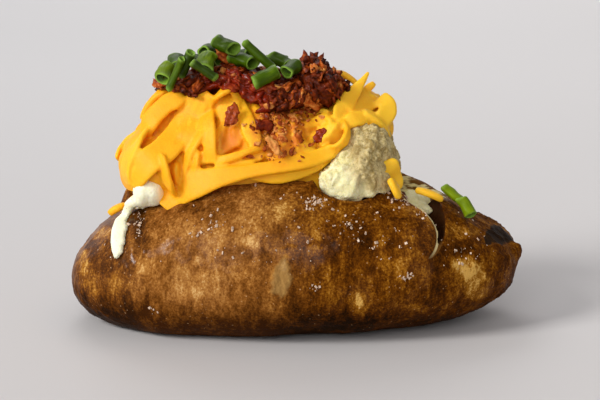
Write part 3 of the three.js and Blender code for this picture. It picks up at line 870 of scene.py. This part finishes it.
# %% [markdown]
# The rest of the heap is laid by chance, from a fixed seed, so that it comes out the same each
# time. A direction from the hub finds a place on the lobes, and a heading across it gives the
# way that the shred runs.


# %% The shreds by chance
def reach(direction):
    """How far the lobes reach from the hub in a direction."""
    farthest = 0
    for at, radii in LOBES:
        start, way = over(HUB - Vector(at), radii), over(direction, radii)
        a, b = way.length_squared, start.dot(way)
        left = b * b - a * (start.length_squared - 1)
        if left > 0:
            farthest = max(farthest, (math.sqrt(left) - b) / a)
    return farthest


def on_heap(direction, lift):
    unit = direction.normalized()
    p = HUB + unit * (reach(unit) + lift)
    p.z = max(p.z, HEAP_FLOOR + 1.6)
    return p


def chance_shred(draw, turns, rises, lifts, lengths, widths):
    turn, rise = math.radians(draw.uniform(*turns)), math.radians(draw.uniform(*rises))
    middle = Vector((math.cos(rise) * math.cos(turn), math.cos(rise) * math.sin(turn), math.sin(rise)))
    level = Vector((-math.sin(turn), math.cos(turn), 0))
    uphill = middle.cross(level)
    heading = draw.gauss(math.pi / 2, 0.7)
    way = level * math.cos(heading) + uphill * math.sin(heading)
    bend = middle.cross(way) * draw.uniform(-0.12, 0.12)
    half = draw.uniform(*lengths) / 2 / reach(middle)
    lift = draw.uniform(*lifts)
    points = []
    for share in (-1, -0.5, 0, 0.5, 1):
        curled = lift + draw.uniform(-0.3, 0.9) * abs(share)
        points.append(on_heap(middle + way * (share * half) + bend * (1 - share * share), curled))
    width, thickness, twist = draw.uniform(*widths), draw.uniform(1.7, 2.5), draw.uniform(-0.6, 0.6)
    lay_shred(cheese, points, width, thickness, draw, twist=twist)


# how many, and the ranges of their turn, rise, lift, length and width
CHANCE_SHREDS = [
    (60, (-10, 150), (4, 66), (0.2, 2.0), (18, 38), (3.6, 6.4)),
    (8, (150, 205), (14, 50), (-0.8, 0.2), (10, 20), (5, 8)),
    (36, (185, 355), (22, 62), (-1.6, -0.6), (10, 20), (4.5, 7)),
]
draw = random.Random(9)
for count, *ranges in CHANCE_SHREDS:
    for _ in range(count):
        chance_shred(draw, *ranges)
print(sum(len(f.verts) - 2 for f in cheese.faces), "triangles of shreds")

# %% [markdown]
# Under the shreds lies the core of the heap, a ball drawn out to the lobes. The shreds that
# fell beside the heap are copies of their solids, with their triangles joined to four-sided
# faces and divided, which rounds them. Warm cheese is soft: its shreds sink into each other. So
# all of them are joined to one skin by a remesh. Each point of it takes its tint from the
# nearest shred, and a second number tells how shut in it is, from rays that are sent off it.


# %% The core and the fallen shreds
def heap_core():
    bm = bmesh.new()
    bmesh.ops.create_icosphere(bm, subdivisions=6, radius=1)
    for vert in bm.verts:
        p = on_heap(vert.co, -0.9)
        vert.co = p + vert.co * (0.8 * noise.noise(p / 4))
    return bm


def rounded_copy(name):
    """A copy of a solid, its faces divided and drawn round three times."""
    bm = copy_of(name)
    bmesh.ops.join_triangles(
        bm, faces=bm.faces, angle_face_threshold=math.radians(20), angle_shape_threshold=math.radians(60)
    )
    for _ in range(3):
        bmesh.ops.subdivide_edges(bm, edges=bm.edges, cuts=1, use_grid_fill=True)
        smoothed(bm, 1)
    return bm


FALLEN = [f"cheese_shred_{i:02d}" for i in (1, 2, 3)]
add(cheese, heap_core(), tint=0.2)
for name in FALLEN:
    add(cheese, rounded_copy(name), tint=0.5)

# %% Melting them together
tints = [v[cheese.verts.layers.float["tint"]] for v in cheese.verts]
shred_points = KDTree(len(tints))
for i, vert in enumerate(cheese.verts):
    shred_points.insert(vert.co, i)
shred_points.balance()

even(cheese, face=0.52)
layers = {name: cheese.verts.layers.float.new(name) for name in ("tint", "hollow", "stain")}
smoothed(cheese, 1)
cheese_tree = BVHTree.FromBMesh(cheese)
# where the painted shade of the tent's hollow and the grease are seen: x and z, half a width and half a
# height
TENT_HOLLOW_SHADE = (-20.2, 65, 3.8, 5.5)
GREASE = (-4.5, 69, 9, 10)
print("cheese vertices", len(cheese.verts))


# %% Tints, painted shade in the hollows, and the stain
def shut_in(vert, far=3.5):
    """How near the surface is, on average, that rays from a vertex meet."""
    side = vert.normal.orthogonal()
    ways = [vert.normal] + [(vert.normal + side).normalized()] * 4
    total = 0
    for quarter, way in enumerate(ways):
        turned = Matrix.Rotation(quarter * math.pi / 2, 3, vert.normal) @ way
        hit, _, _, distance = cheese_tree.ray_cast(vert.co + 0.1 * vert.normal, turned, far)
        total += 1 - distance / far if hit else 0
    return total / len(ways)


def seen_in(p, u, v, wide, high):
    """1 where a point is seen inside an upright ellipse, 0 outside it."""
    x, z = as_seen(p)
    return ramp(math.hypot((x - u) / wide, (z - v) / high), 1.3, 0.7)


cheese.normal_update()
for vert in cheese.verts:
    vert[layers["tint"]] = tints[shred_points.find(vert.co)[1]]
    # painted shade: the more shut in a point is, the deeper orange it is painted
    vert[layers["hollow"]] = min(0.8, 1.1 * shut_in(vert))
    if vert.co.y < -8:
        # painted shade: low surfaces seen in the tent's hollow turn deep orange
        below = ramp(reach(out_of_heap(vert.co)) - (vert.co - HUB).length, -2.2, -0.8)
        deep = below * seen_in(vert.co, *TENT_HOLLOW_SHADE)
        vert[layers["hollow"]] = max(vert[layers["hollow"]], deep)
        vert[layers["stain"]] = seen_in(vert.co + 2 * noise.noise_vector(vert.co / 2.5), *GREASE)


# %% [markdown]
# Cheddar lets light in: a shred glows where the light is behind it, and between two shreds the
# yellow deepens to orange. Subsurface scattering with a radius that is long for red and short
# for blue does part of this. The rest is painted shade: places shut in by other shreds, and the
# low surfaces in the tent's hollow, are painted deep orange. Each shred has a slightly different
# yellow, kept in the attribute "tint".


# %% Finish of the cheese
def cheese_finish(start):
    place = place_in_mm(start)
    tint = attribute(start, "tint")
    hollow = attribute(start, "hollow")
    stain = attribute(start, "stain")
    soft = grain(place, 6, 3)
    fine = grain(place, 0.9, 2)
    yellows = (0, 248, 152, 14), (0.3, 250, 168, 18), (0.62, 252, 181, 28), (1, 254, 196, 48)
    warmth = 0.3 * step(axis(place, "X"), -14, 14)
    yellow = coloured(0.42 * tint + 0.5 * soft + 0.08 + warmth, *yellows)
    # painted shade: shut-in places and the tent's hollow turn deep orange
    deep = blend(hollow * 0.92, yellow, srgb(212, 116, 0))
    greasy = stain * step(grain(place, 2.2, 3), 0.2, 0.55)
    surface(
        start,
        Base_Color=blend(greasy * 0.8, deep, srgb(204, 96, 14)),
        Roughness=0.42 + 0.2 * fine,
        Specular_IOR_Level=0.22,
        Normal=bumped(0.6 * soft + 0.4 * fine, 0.2),
        Subsurface_Weight=0.3,
        Subsurface_Radius=(0.004, 0.0016, 0.0003),
        Subsurface_Scale=1.0,
    )


finished("cheddar", cheese, cheese_finish, "cheese", "cheese_heap", *FALLEN)

# %% [markdown]
# ## The bacon
#
# Crisp bacon breaks into crumpled chips, dark where it browned and pink or golden where it was
# fat. One chip is a ball pressed flat, bent and crumpled by noise. A few hundred of them are
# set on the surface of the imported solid, which is also kept below them, crumbled, as the core.


# %% One chip
def add_chip(bm, at, sizes, turned, draw, tint, red):
    """Adds a crumpled chip: its three half sizes, and the turn that lays it down."""
    shift = Vector((draw.uniform(0, 99), draw.uniform(0, 99), 0))
    bow = draw.uniform(-0.35, 0.35)
    size = sizes[0]
    added = bmesh.ops.create_icosphere(bm, subdivisions=3 if size > 2.6 else 2, radius=1)["verts"]
    tint_layer, red_layer = bm.verts.layers.float["tint"], bm.verts.layers.float["red"]
    for vert in added:
        rough = 0.5 * noise.noise(vert.co * 1.5 + shift) + 0.4 * noise.noise(vert.co * 3.3 + shift)
        p = Vector((c * (1 + rough) * half for c, half in zip(vert.co, sizes)))
        p.z += bow * p.x * p.x / size + 0.5 * noise.noise(p / 1.1 + shift)
        p.y += 0.4 * noise.noise(Vector((p.x / 1.3, 7, 0)) + shift)
        vert.co = turned @ p + at
        vert[tint_layer] = tint + 0.34 * noise.noise(p / 1.1 + shift)
        vert[red_layer] = red


def laid_on(normal, draw, tilt):
    """A turn that puts a chip's flat side on a surface, spun and tilted by chance."""
    spun = Matrix.Rotation(draw.uniform(0, 2 * math.pi), 3, "Z")
    tilted = Matrix.Rotation(draw.gauss(0, tilt), 3, "X")
    return normal.to_track_quat("Z", "X").to_matrix() @ tilted @ spun


# %% [markdown]
# The chips are darkest at the right, where they stand up as a crisp peak of upright strips, and
# red and glossy in the middle of the front. Some slid down the cheese, small and pink. Two
# numbers per chip say so: "tint", from dark to fatty, and "red". The heap ends in front at an
# edge, given by where it is seen, below which the cheese shows, and slopes down behind its peak.

# %% Edges of the heap, and its larger pieces
BACON_EDGE = [
    (-44.3, 82.0), (-36, 81.0), (-32.8, 78.5), (-26.4, 81.6), (-19.6, 83.0), (-17.0, 78.8),
    (-10.7, 75.4), (-8.1, 74.4), (0.5, 75.6), (5.3, 77.6), (10.5, 76.0), (14.3, 79.2), (17.2, 82.0),
]
PEAK_SLOPE = [(5.5, 93.0), (8, 90.5), (9.7, 87.8), (12.7, 85.2), (17, 81.2), (20, 79.0)]
# from where to where each of the larger pieces is seen, its width, its tint and its redness
PIECES = [
    ((2.5, 92.0), (3.7, 85.9), 3.4, 0.5, 0),
    ((5.7, 91.4), (6.6, 83.9), 3.6, 0.22, 0),
    ((7.9, 89.5), (9.5, 87.2), 2.6, 0.8, 0),
    ((9.5, 83.3), (10.1, 75.7), 3.6, 0.25, 0.2),
    ((11.4, 85.9), (16.2, 80.0), 4.0, 0.35, 0),
    ((13.0, 81.3), (16.2, 79.0), 3.0, 0.2, 0),
    ((-3.9, 84.6), (2.5, 82.0), 3.5, 0.42, 0),
    ((1.5, 79.3), (7.9, 76.0), 3.6, 0.72, 0),
    ((-26.7, 84.6), (-17.7, 82.6), 4.2, 0.5, 1),
    ((-23.5, 82.4), (-17.4, 81.9), 3.0, 0.5, 1),
    ((-18.4, 85.3), (-12.6, 77.4), 4.0, 0.45, 0.8),
    ((-11.6, 83.3), (-6.2, 81.3), 4.2, 0.5, 0.6),
    ((-10.0, 77.4), (-2.3, 75.7), 3.4, 0.3, 0.3),
    ((-4.9, 80.0), (0.2, 76.7), 3.5, 0.38, 0.2),
    ((-44.3, 84.0), (-41.7, 82.0), 2.4, 0.7, 0.5),
    ((-35.0, 84.0), (-30.5, 78.6), 3.4, 0.28, 0),
    ((-40.1, 82.6), (-35.7, 81.6), 2.8, 0.35, 0),
    ((-24.8, 93.2), (-17.1, 89.9), 4.0, 0.6, 0),
    ((-23.5, 88.6), (-16.4, 86.6), 4.0, 0.42, 0.2),
]

# the same for pieces that slid down the cheese
SLID_PIECES = [
    ((-12.6, 69.8), (-7.5, 70.2), 3.8, 0.4, 0.5),
    ((-6.5, 75.5), (-3.0, 72.5), 2.6, 0.6, 0.2),
    ((-2.0, 73.5), (1.0, 71.0), 2.4, 0.75, 0),
    ((-5.5, 66.5), (-2.5, 65.0), 2.2, 0.7, 0.1),
    ((0.0, 67.5), (2.0, 65.0), 2.0, 0.65, 0.1),
    ((-9.5, 74.0), (-8.5, 71.5), 2.4, 0.5, 0.3),
]


def line_at(x, corners):
    """The height at x of a line through corners, level beyond its ends."""
    for (x0, z0), (x1, z1) in zip(corners, corners[1:]):
        if x <= x1:
            break
    return z0 + (z1 - z0) * min(max((x - x0) / (x1 - x0), 0), 1)


def below_edge(p):
    """How far under the front edge of the heap a point is seen, in millimetres."""
    x, z = as_seen(p)
    return line_at(x, BACON_EDGE) - z


def crumbled_down(p):
    """The point itself, or lower where it is seen above the slope behind the peak."""
    x, z = as_seen(p)
    return p - Vector((0, 0, max(z - line_at(x, PEAK_SLOPE), 0)))


# %% The core of the heap
bacon = bmesh.new()
bacon.verts.layers.float.new("tint")
bacon.verts.layers.float.new("red")
draw = random.Random(21)

core = even(copy_of("bacon_heap"), face=0.65)
smoothed(core, 1)
raised(core, lambda p: 0.9 * noise.noise(p / 2.2) + 0.8 * noise.noise(p / 0.9) - 0.5)
bacon_tree = BVHTree.FromBMesh(core)
for vert in core.verts:
    vert.co = crumbled_down(vert.co)
    if vert.co.y < 4:
        vert.co += (vert.co - EYE).normalized() * 8 * ramp(below_edge(vert.co), -0.6, 1.4)
add(bacon, core, tint=0.32)
for vert in bacon.verts:
    vert[bacon.verts.layers.float["red"]] = ramp(abs(vert.co.x + 18), 13, 7) * ramp(vert.co.y, -4, -8)

# %% Chips by chance
CHIPS = 520


def standing(draw):
    """A turn that stands a chip up on its end, leaning by chance."""
    return Vector((draw.gauss(0.1, 0.35), draw.gauss(0, 0.35), 1)).to_track_quat("X", "Z").to_matrix()


solid = copy_of("bacon_heap")
faces = [f for f in solid.faces if f.normal.z > -0.85]
for face in draw.choices(faces, [f.calc_area() for f in faces], k=CHIPS):
    corners = [v.co for v in face.verts]
    shares = [draw.random() for _ in corners]
    at = crumbled_down(sum((c * s for c, s in zip(corners, shares)), Vector()) / sum(shares))
    if at.y < 4 and below_edge(at) > draw.uniform(-1.8, 0.2):
        continue
    peak = ramp(at.x, -2, 6)
    middle = ramp(abs(at.x + 18), 12, 7) * ramp(at.y, -5, -9)
    tint = draw.choice((0.2, 0.28, 0.35, 0.42, 0.5, 0.6, 0.8)) - 0.06 * peak
    size = draw.choice((0.8, 1.2, 1.6, 2.1, 2.6))
    sizes = (size, size * draw.uniform(0.4, 0.7), size * draw.uniform(0.2, 0.4))
    turned = standing(draw) if draw.random() < 0.5 * peak else laid_on(face.normal, draw, 0.4)
    add_chip(bacon, at, sizes, turned, draw, tint, middle)
solid.free()

# %% Pieces in their places
CRUMBS = 230


def lay_piece(start, end, width, tint, red, tree, lift):
    """Adds a chip that is seen to run from one place to another on a surface."""
    first, last = (seen(*place, lift, tree=tree) for place in (start, end))
    along = (last - first).normalized()
    outward = along.cross((EYE - first).cross(along)).normalized()
    turned = Matrix((along, outward.cross(along), outward)).transposed()
    sizes = (0.45 * (last - first).length + 0.3, width / 2, 0.8)
    add_chip(bacon, (first + last) / 2, sizes, turned, draw, tint, red)


for row in PIECES:
    lay_piece(*row, bacon_tree, 0.3)
for row in SLID_PIECES:
    lay_piece(*row, cheese_tree, 0.6)
for _ in range(CRUMBS):
    x, z = draw.gauss(-4.5, 5), 57 + 20 * draw.random() ** 0.5
    at = seen(x, z, 0.2, tree=cheese_tree)
    size = 0.4 + 1.2 * draw.random() ** 2
    turned = laid_on(Vector((0, -1, 0.5)), draw, 0.3)
    add_chip(bacon, at, (size, 0.55 * size, 0.35 * size), turned, draw, draw.uniform(0.45, 0.9), 0.1)
print(sum(len(f.verts) - 2 for f in bacon.faces), "triangles of bacon")

# %% The loose bits
# the tint and the redness of each
BITS = {"bacon_bit_01": (0.62, 0.7), "bacon_bit_02": (0.5, 0.9), "bacon_bit_03": (0.85, 0.1)}
BIT_LIFT = Vector((0, -0.8, 0.3))
for name, (tint, red) in BITS.items():
    bit = rounded_copy(name)
    raised(bit, lambda p: 0.7 * noise.noise(p / 1.5) + 0.45 * noise.noise(p / 0.7))
    bmesh.ops.translate(bit, verts=bit.verts, vec=BIT_LIFT)
    add(bacon, bit, tint=tint, red=red)


# %% Finish of the bacon
def bacon_finish(start):
    place = place_in_mm(start)
    tint = attribute(start, "tint")
    red = attribute(start, "red")
    streaks = grain(place, 1.3, 3, 0.6)
    browns = (0.05, 38, 9, 1), (0.28, 80, 24, 2), (0.48, 124, 46, 6), (0.7, 182, 90, 30), (0.95, 226, 156, 78)
    brown = coloured(tint + 0.7 * (streaks - 0.5), *browns)
    rosy = blend(red * 0.6, brown, blend(streaks, srgb(98, 10, 0), srgb(170, 38, 8)))
    surface(
        start,
        Base_Color=rosy,
        Roughness=0.45 - 0.16 * red + 0.25 * (streaks - 0.5),
        Specular_IOR_Level=0.1,
        Normal=bumped(streaks, 0.4),
        Coat_Weight=0.03 + 0.2 * red,
        Coat_Roughness=0.15,
    )


finished("crisp_bacon", bacon, bacon_finish, "bacon", "bacon_heap", *BITS)

# %% [markdown]
# ## The green onion
#
# A cut leaf is a hollow tube with a thin wall, glossy outside and paler inside. Each solid of
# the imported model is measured: its middle, its length, its radius and the way it points, which
# is the way in which its points spread most. Then a fine tube goes in the same place, from a
# circle that is extruded, given a wall by Solidify and softened at its cut edges. The order in
# which these operators make vertices changes from run to run. So the vertices are sorted by
# their places before any chance is drawn for them, and each run gives the same leaves.


# %% Measuring a tube
def measured(name):
    solid = copy_of(name)
    points = [v.co.copy() for v in solid.verts]
    solid.free()
    middle = sum(points, Vector()) / len(points)
    way = max((a - b for a in points for b in points), key=lambda d: d.length).normalized()
    for _ in range(12):
        way = sum(((p - middle) * (p - middle).dot(way) for p in points), Vector()).normalized()
    length = 2 * max(abs((p - middle).dot(way)) for p in points)
    radius = max(((p - middle) - way * (p - middle).dot(way)).length for p in points)
    return middle, way, length, radius


# %% One tube
TUBE_SIDES = 24
TUBE_RINGS = 8
WALL = 0.75


def tube(length, radius):
    """A hollow leaf along Z."""
    bm = bmesh.new()
    start = Matrix.Translation((0, 0, -length / 2))
    bmesh.ops.create_circle(bm, segments=TUBE_SIDES, radius=radius, matrix=start)
    edges = bm.edges[:]
    for _ in range(TUBE_RINGS):
        made = bmesh.ops.extrude_edge_only(bm, edges=edges)["geom"]
        verts = [g for g in made if isinstance(g, bmesh.types.BMVert)]
        edges = [g for g in made if isinstance(g, bmesh.types.BMEdge)]
        bmesh.ops.translate(bm, verts=verts, vec=(0, 0, length / TUBE_RINGS))
    bmesh.ops.recalc_face_normals(bm, faces=bm.faces)
    bmesh.ops.solidify(bm, geom=bm.faces, thickness=WALL)
    return bm


def place_on_tube(p, length, radius):
    """The ring, the side and the wall that a vertex is on, as whole numbers."""
    side = round(math.atan2(p.y, p.x) / math.tau * TUBE_SIDES) % TUBE_SIDES
    return round(p.z / length * TUBE_RINGS), side, round((radius - p.xy.length) / WALL)


def shape_tube(bm, length, radius, draw):
    """Presses, bows and slants a tube, and notes for each vertex where on the leaf it is."""
    layer = bm.verts.layers.float_vector.new("leaf")
    inner = bm.verts.layers.float.new("inner")
    rim = bm.verts.layers.float.new("rim")
    tint = bm.verts.layers.float.new("tint")
    shift = Vector((draw.uniform(0, 99), draw.uniform(0, 99), 0))
    flat, bow, shade = draw.uniform(0.58, 0.95), draw.uniform(-0.8, 0.8), draw.random()
    for vert in sorted(bm.verts, key=lambda v: place_on_tube(v.co, length, radius)):
        p = vert.co.copy()
        round_part = Vector((p.x, p.y, 0))
        vert[layer] = p
        vert[inner] = ramp(round_part.length, radius - 0.3 * WALL, radius - 0.7 * WALL)
        vert[tint] = shade
        vert[rim] = ramp(abs(p.z), 0.47 * length, 0.49 * length)
        swell = 1 + 0.24 * noise.noise(p / 2.6 + shift)
        slant = 0.4 * p.x + 0.5 * noise.noise(p / 2 + shift) if abs(p.z) > 0.45 * length else 0
        vert.co = Vector((p.x * swell, p.y * swell * flat, p.z + slant * draw.uniform(0.6, 1)))
        vert.co.x += bow * (1 - (2 * p.z / length) ** 2)


# %% The tubes in their places
ONIONS = [f"onion_{i:02d}" for i in range(1, 19)]
onions = bmesh.new()
draw = random.Random(5)
for name in ONIONS:
    middle, way, length, radius = measured(name)
    one = tube(length, radius)
    shape_tube(one, length, radius, draw)
    turned = way.to_track_quat("Z", "Y").to_matrix().to_4x4()
    bmesh.ops.transform(one, matrix=Matrix.Translation(middle) @ turned, verts=one.verts)
    add(onions, one)
print(len(ONIONS), "tubes")


# %% Finish of the onion
def onion_finish(start):
    leaf = start.node("Attribute", {"attribute_name": "leaf"}, output=1)
    veins = grain(stretched(leaf, 1, 1, 0.12), 0.55, 2)
    mottled = grain(place_in_mm(start), 3, 3)
    shade = 0.65 * attribute(start, "tint") + 0.25 * veins + 0.25 * mottled - 0.06
    green = coloured(shade, (0.15, 30, 46, 0), (0.5, 62, 87, 0), (0.85, 126, 148, 12))
    pale = blend(attribute(start, "inner"), green, srgb(104, 138, 40))
    surface(
        start,
        Base_Color=blend(attribute(start, "rim") * 0.7, pale, srgb(132, 168, 62)),
        Roughness=0.32 + 0.15 * veins,
        Specular_IOR_Level=0.14,
        Normal=bumped(0.5 * veins + 0.5 * mottled, 0.2),
    )


onion = finished("green_onion", onions, onion_finish, "onion", *ONIONS)
soften = onion.modifiers.new("soften", "SUBSURF")
soften.levels = soften.render_levels = 1

# %% [markdown]
# ## The salt
#
# Coarse salt is a scatter of small cubes, thickest where the hand passed. Those in front lie in
# drifts, given as the shreds are by where they are seen, and others lie thinly over the rest.

# %% Drifts of salt
# x and z where they are seen, how far they spread in x and z, and how many
SALT_DRIFTS = [
    (7, 45, 6, 2.4, 46),
    (36, 45.5, 5, 3, 40),
    (31, 46.5, 4, 2, 18),
    (40, 42, 4, 2, 14),
    (-26, 37, 8, 3.5, 34),
    (6, 17, 1.8, 1.3, 10),
    (36.5, 20, 3.4, 1.6, 20),
    (-46.5, 9, 1.5, 1.2, 6),
    (-50, 38, 1, 7, 46),
    (18, 37, 11, 5, 34),
    (30, 32, 10, 6, 22),
    (54, 29, 7, 6, 26),
    (2, 35, 8, 9, 14),
    (-15, 30, 24, 10, 20),
]
THIN_SALT = 130
salt = bmesh.new()
draw = random.Random(3)


def add_crystal(hit, normal):
    half = 0.1 + 0.42 * draw.random() ** 2
    sizes = Matrix.Diagonal((half, half * draw.uniform(0.4, 0.9), half * draw.uniform(0.3, 0.6), 1))
    turned = laid_on(normal, draw, 0.9).to_4x4()
    placed = Matrix.Translation(hit + normal * half * 0.3) @ turned @ sizes
    bmesh.ops.create_cube(salt, size=2, matrix=placed)


for x, z, wide, high, count in SALT_DRIFTS:
    for _ in range(count):
        aim = Vector((draw.gauss(x, wide / 2), SIGHT_PLANE, draw.gauss(z, high / 2)))
        sight = (aim - EYE).normalized()
        hit, normal, _, _ = skin_tree.ray_cast(EYE, sight)
        if hit and hit.y < 0 and inside(hit, **MOUTH) > 1.02:
            add_crystal(hit, normal)
for _ in range(THIN_SALT):
    above = Vector((draw.uniform(-66, 66), draw.uniform(-36, 38), 100))
    hit, normal, _, _ = skin_tree.ray_cast(above, Vector((0, 0, -1)))
    if hit and inside(hit, **MOUTH) > 1.02:
        add_crystal(hit, normal)
print(len(salt.faces) // 6, "crystals")


# %% Finish of the salt
def salt_finish(start):
    sparkle = grain(place_in_mm(start), 0.4, 1)
    white = blend(sparkle, srgb(172, 136, 108), srgb(232, 210, 188))
    surface(start, Base_Color=white, Roughness=0.35, Specular_IOR_Level=0.4)


crystals = finished("coarse_salt", salt, salt_finish, "filling")
crystals.data.shade_flat()

# %% [markdown]
# ## The stage
#
# A pale paper sweep, level under the potato and curved up behind it, gives a calm ground with no
# edge. It is painted a little darker at the left and in front, where the key light falls on it
# most: painted shade that evens out its light. A large soft light stands high at the left, a
# wider and weaker one in front, and a small one behind lifts the upper edges. The pale world does
# the rest.

# %% Floor and backdrop
PAPER_FRONT = -900
PAPER_LENGTH = 3600
PAPER_HALF_WIDTH = 2600
LEVEL_END = 700
CURVE = 900  # the radius with which the paper turns up


def paper_finish(start):
    place = place_in_mm(start)
    # painted shade: darker at the left and in front, where the key light falls most
    tone = blend(step(axis(place, "X"), -400, 400), srgb(206, 205, 207), srgb(230, 228, 229))
    near = step(axis(place, "Y"), 900, -300)
    surface(start, Base_Color=blend(near, tone, srgb(236, 234, 233), "MULTIPLY"), Roughness=0.75)


sweep = bmesh.new()
bmesh.ops.create_grid(sweep, x_segments=2, y_segments=60, size=1)
for vert in sweep.verts:
    run = PAPER_FRONT + (vert.co.y + 1) * PAPER_LENGTH / 2
    turn = max(run - LEVEL_END, 0) / CURVE
    angle = min(turn, math.pi / 2)
    back = min(run, LEVEL_END) + CURVE * math.sin(angle)
    up = CURVE * (1 - math.cos(angle) + turn - angle)
    vert.co = Vector((vert.co.x * PAPER_HALF_WIDTH, back, up))
backdrop = object_of("paper_sweep", sweep, material("pale_paper", paper_finish))


# %% Lights
def soft_light(name, at, size, watts, colour=(1, 1, 1)):
    """A square light, this wide in metres, that looks at the potato."""
    lamp = bpy.data.lights.new(name, "AREA")
    lamp.shape = "SQUARE"
    lamp.size = size
    lamp.energy = watts
    lamp.color = colour
    light = linked(name, lamp)
    light.location = at
    light.rotation_euler = (AIM * MM - Vector(at)).to_track_quat("-Z", "Y").to_euler()


soft_light("key", (-1.85, -1.15, 1.35), 0.8, 51, (1, 0.985, 0.955))
soft_light("front", (-0.4, -2.4, 1.2), 1.4, 21)
soft_light("back", (-0.2, 0.8, 0.9), 0.6, 3)

world = bpy.data.worlds.new("pale_room")
world.use_nodes = True
bpy.context.scene.world = world
background = world.node_tree.nodes["Background"]
background.inputs["Color"].default_value = (1, 0.98, 0.97, 1)
background.inputs["Strength"].default_value = 0.35
bpy.context.scene.view_settings.view_transform = "Standard"
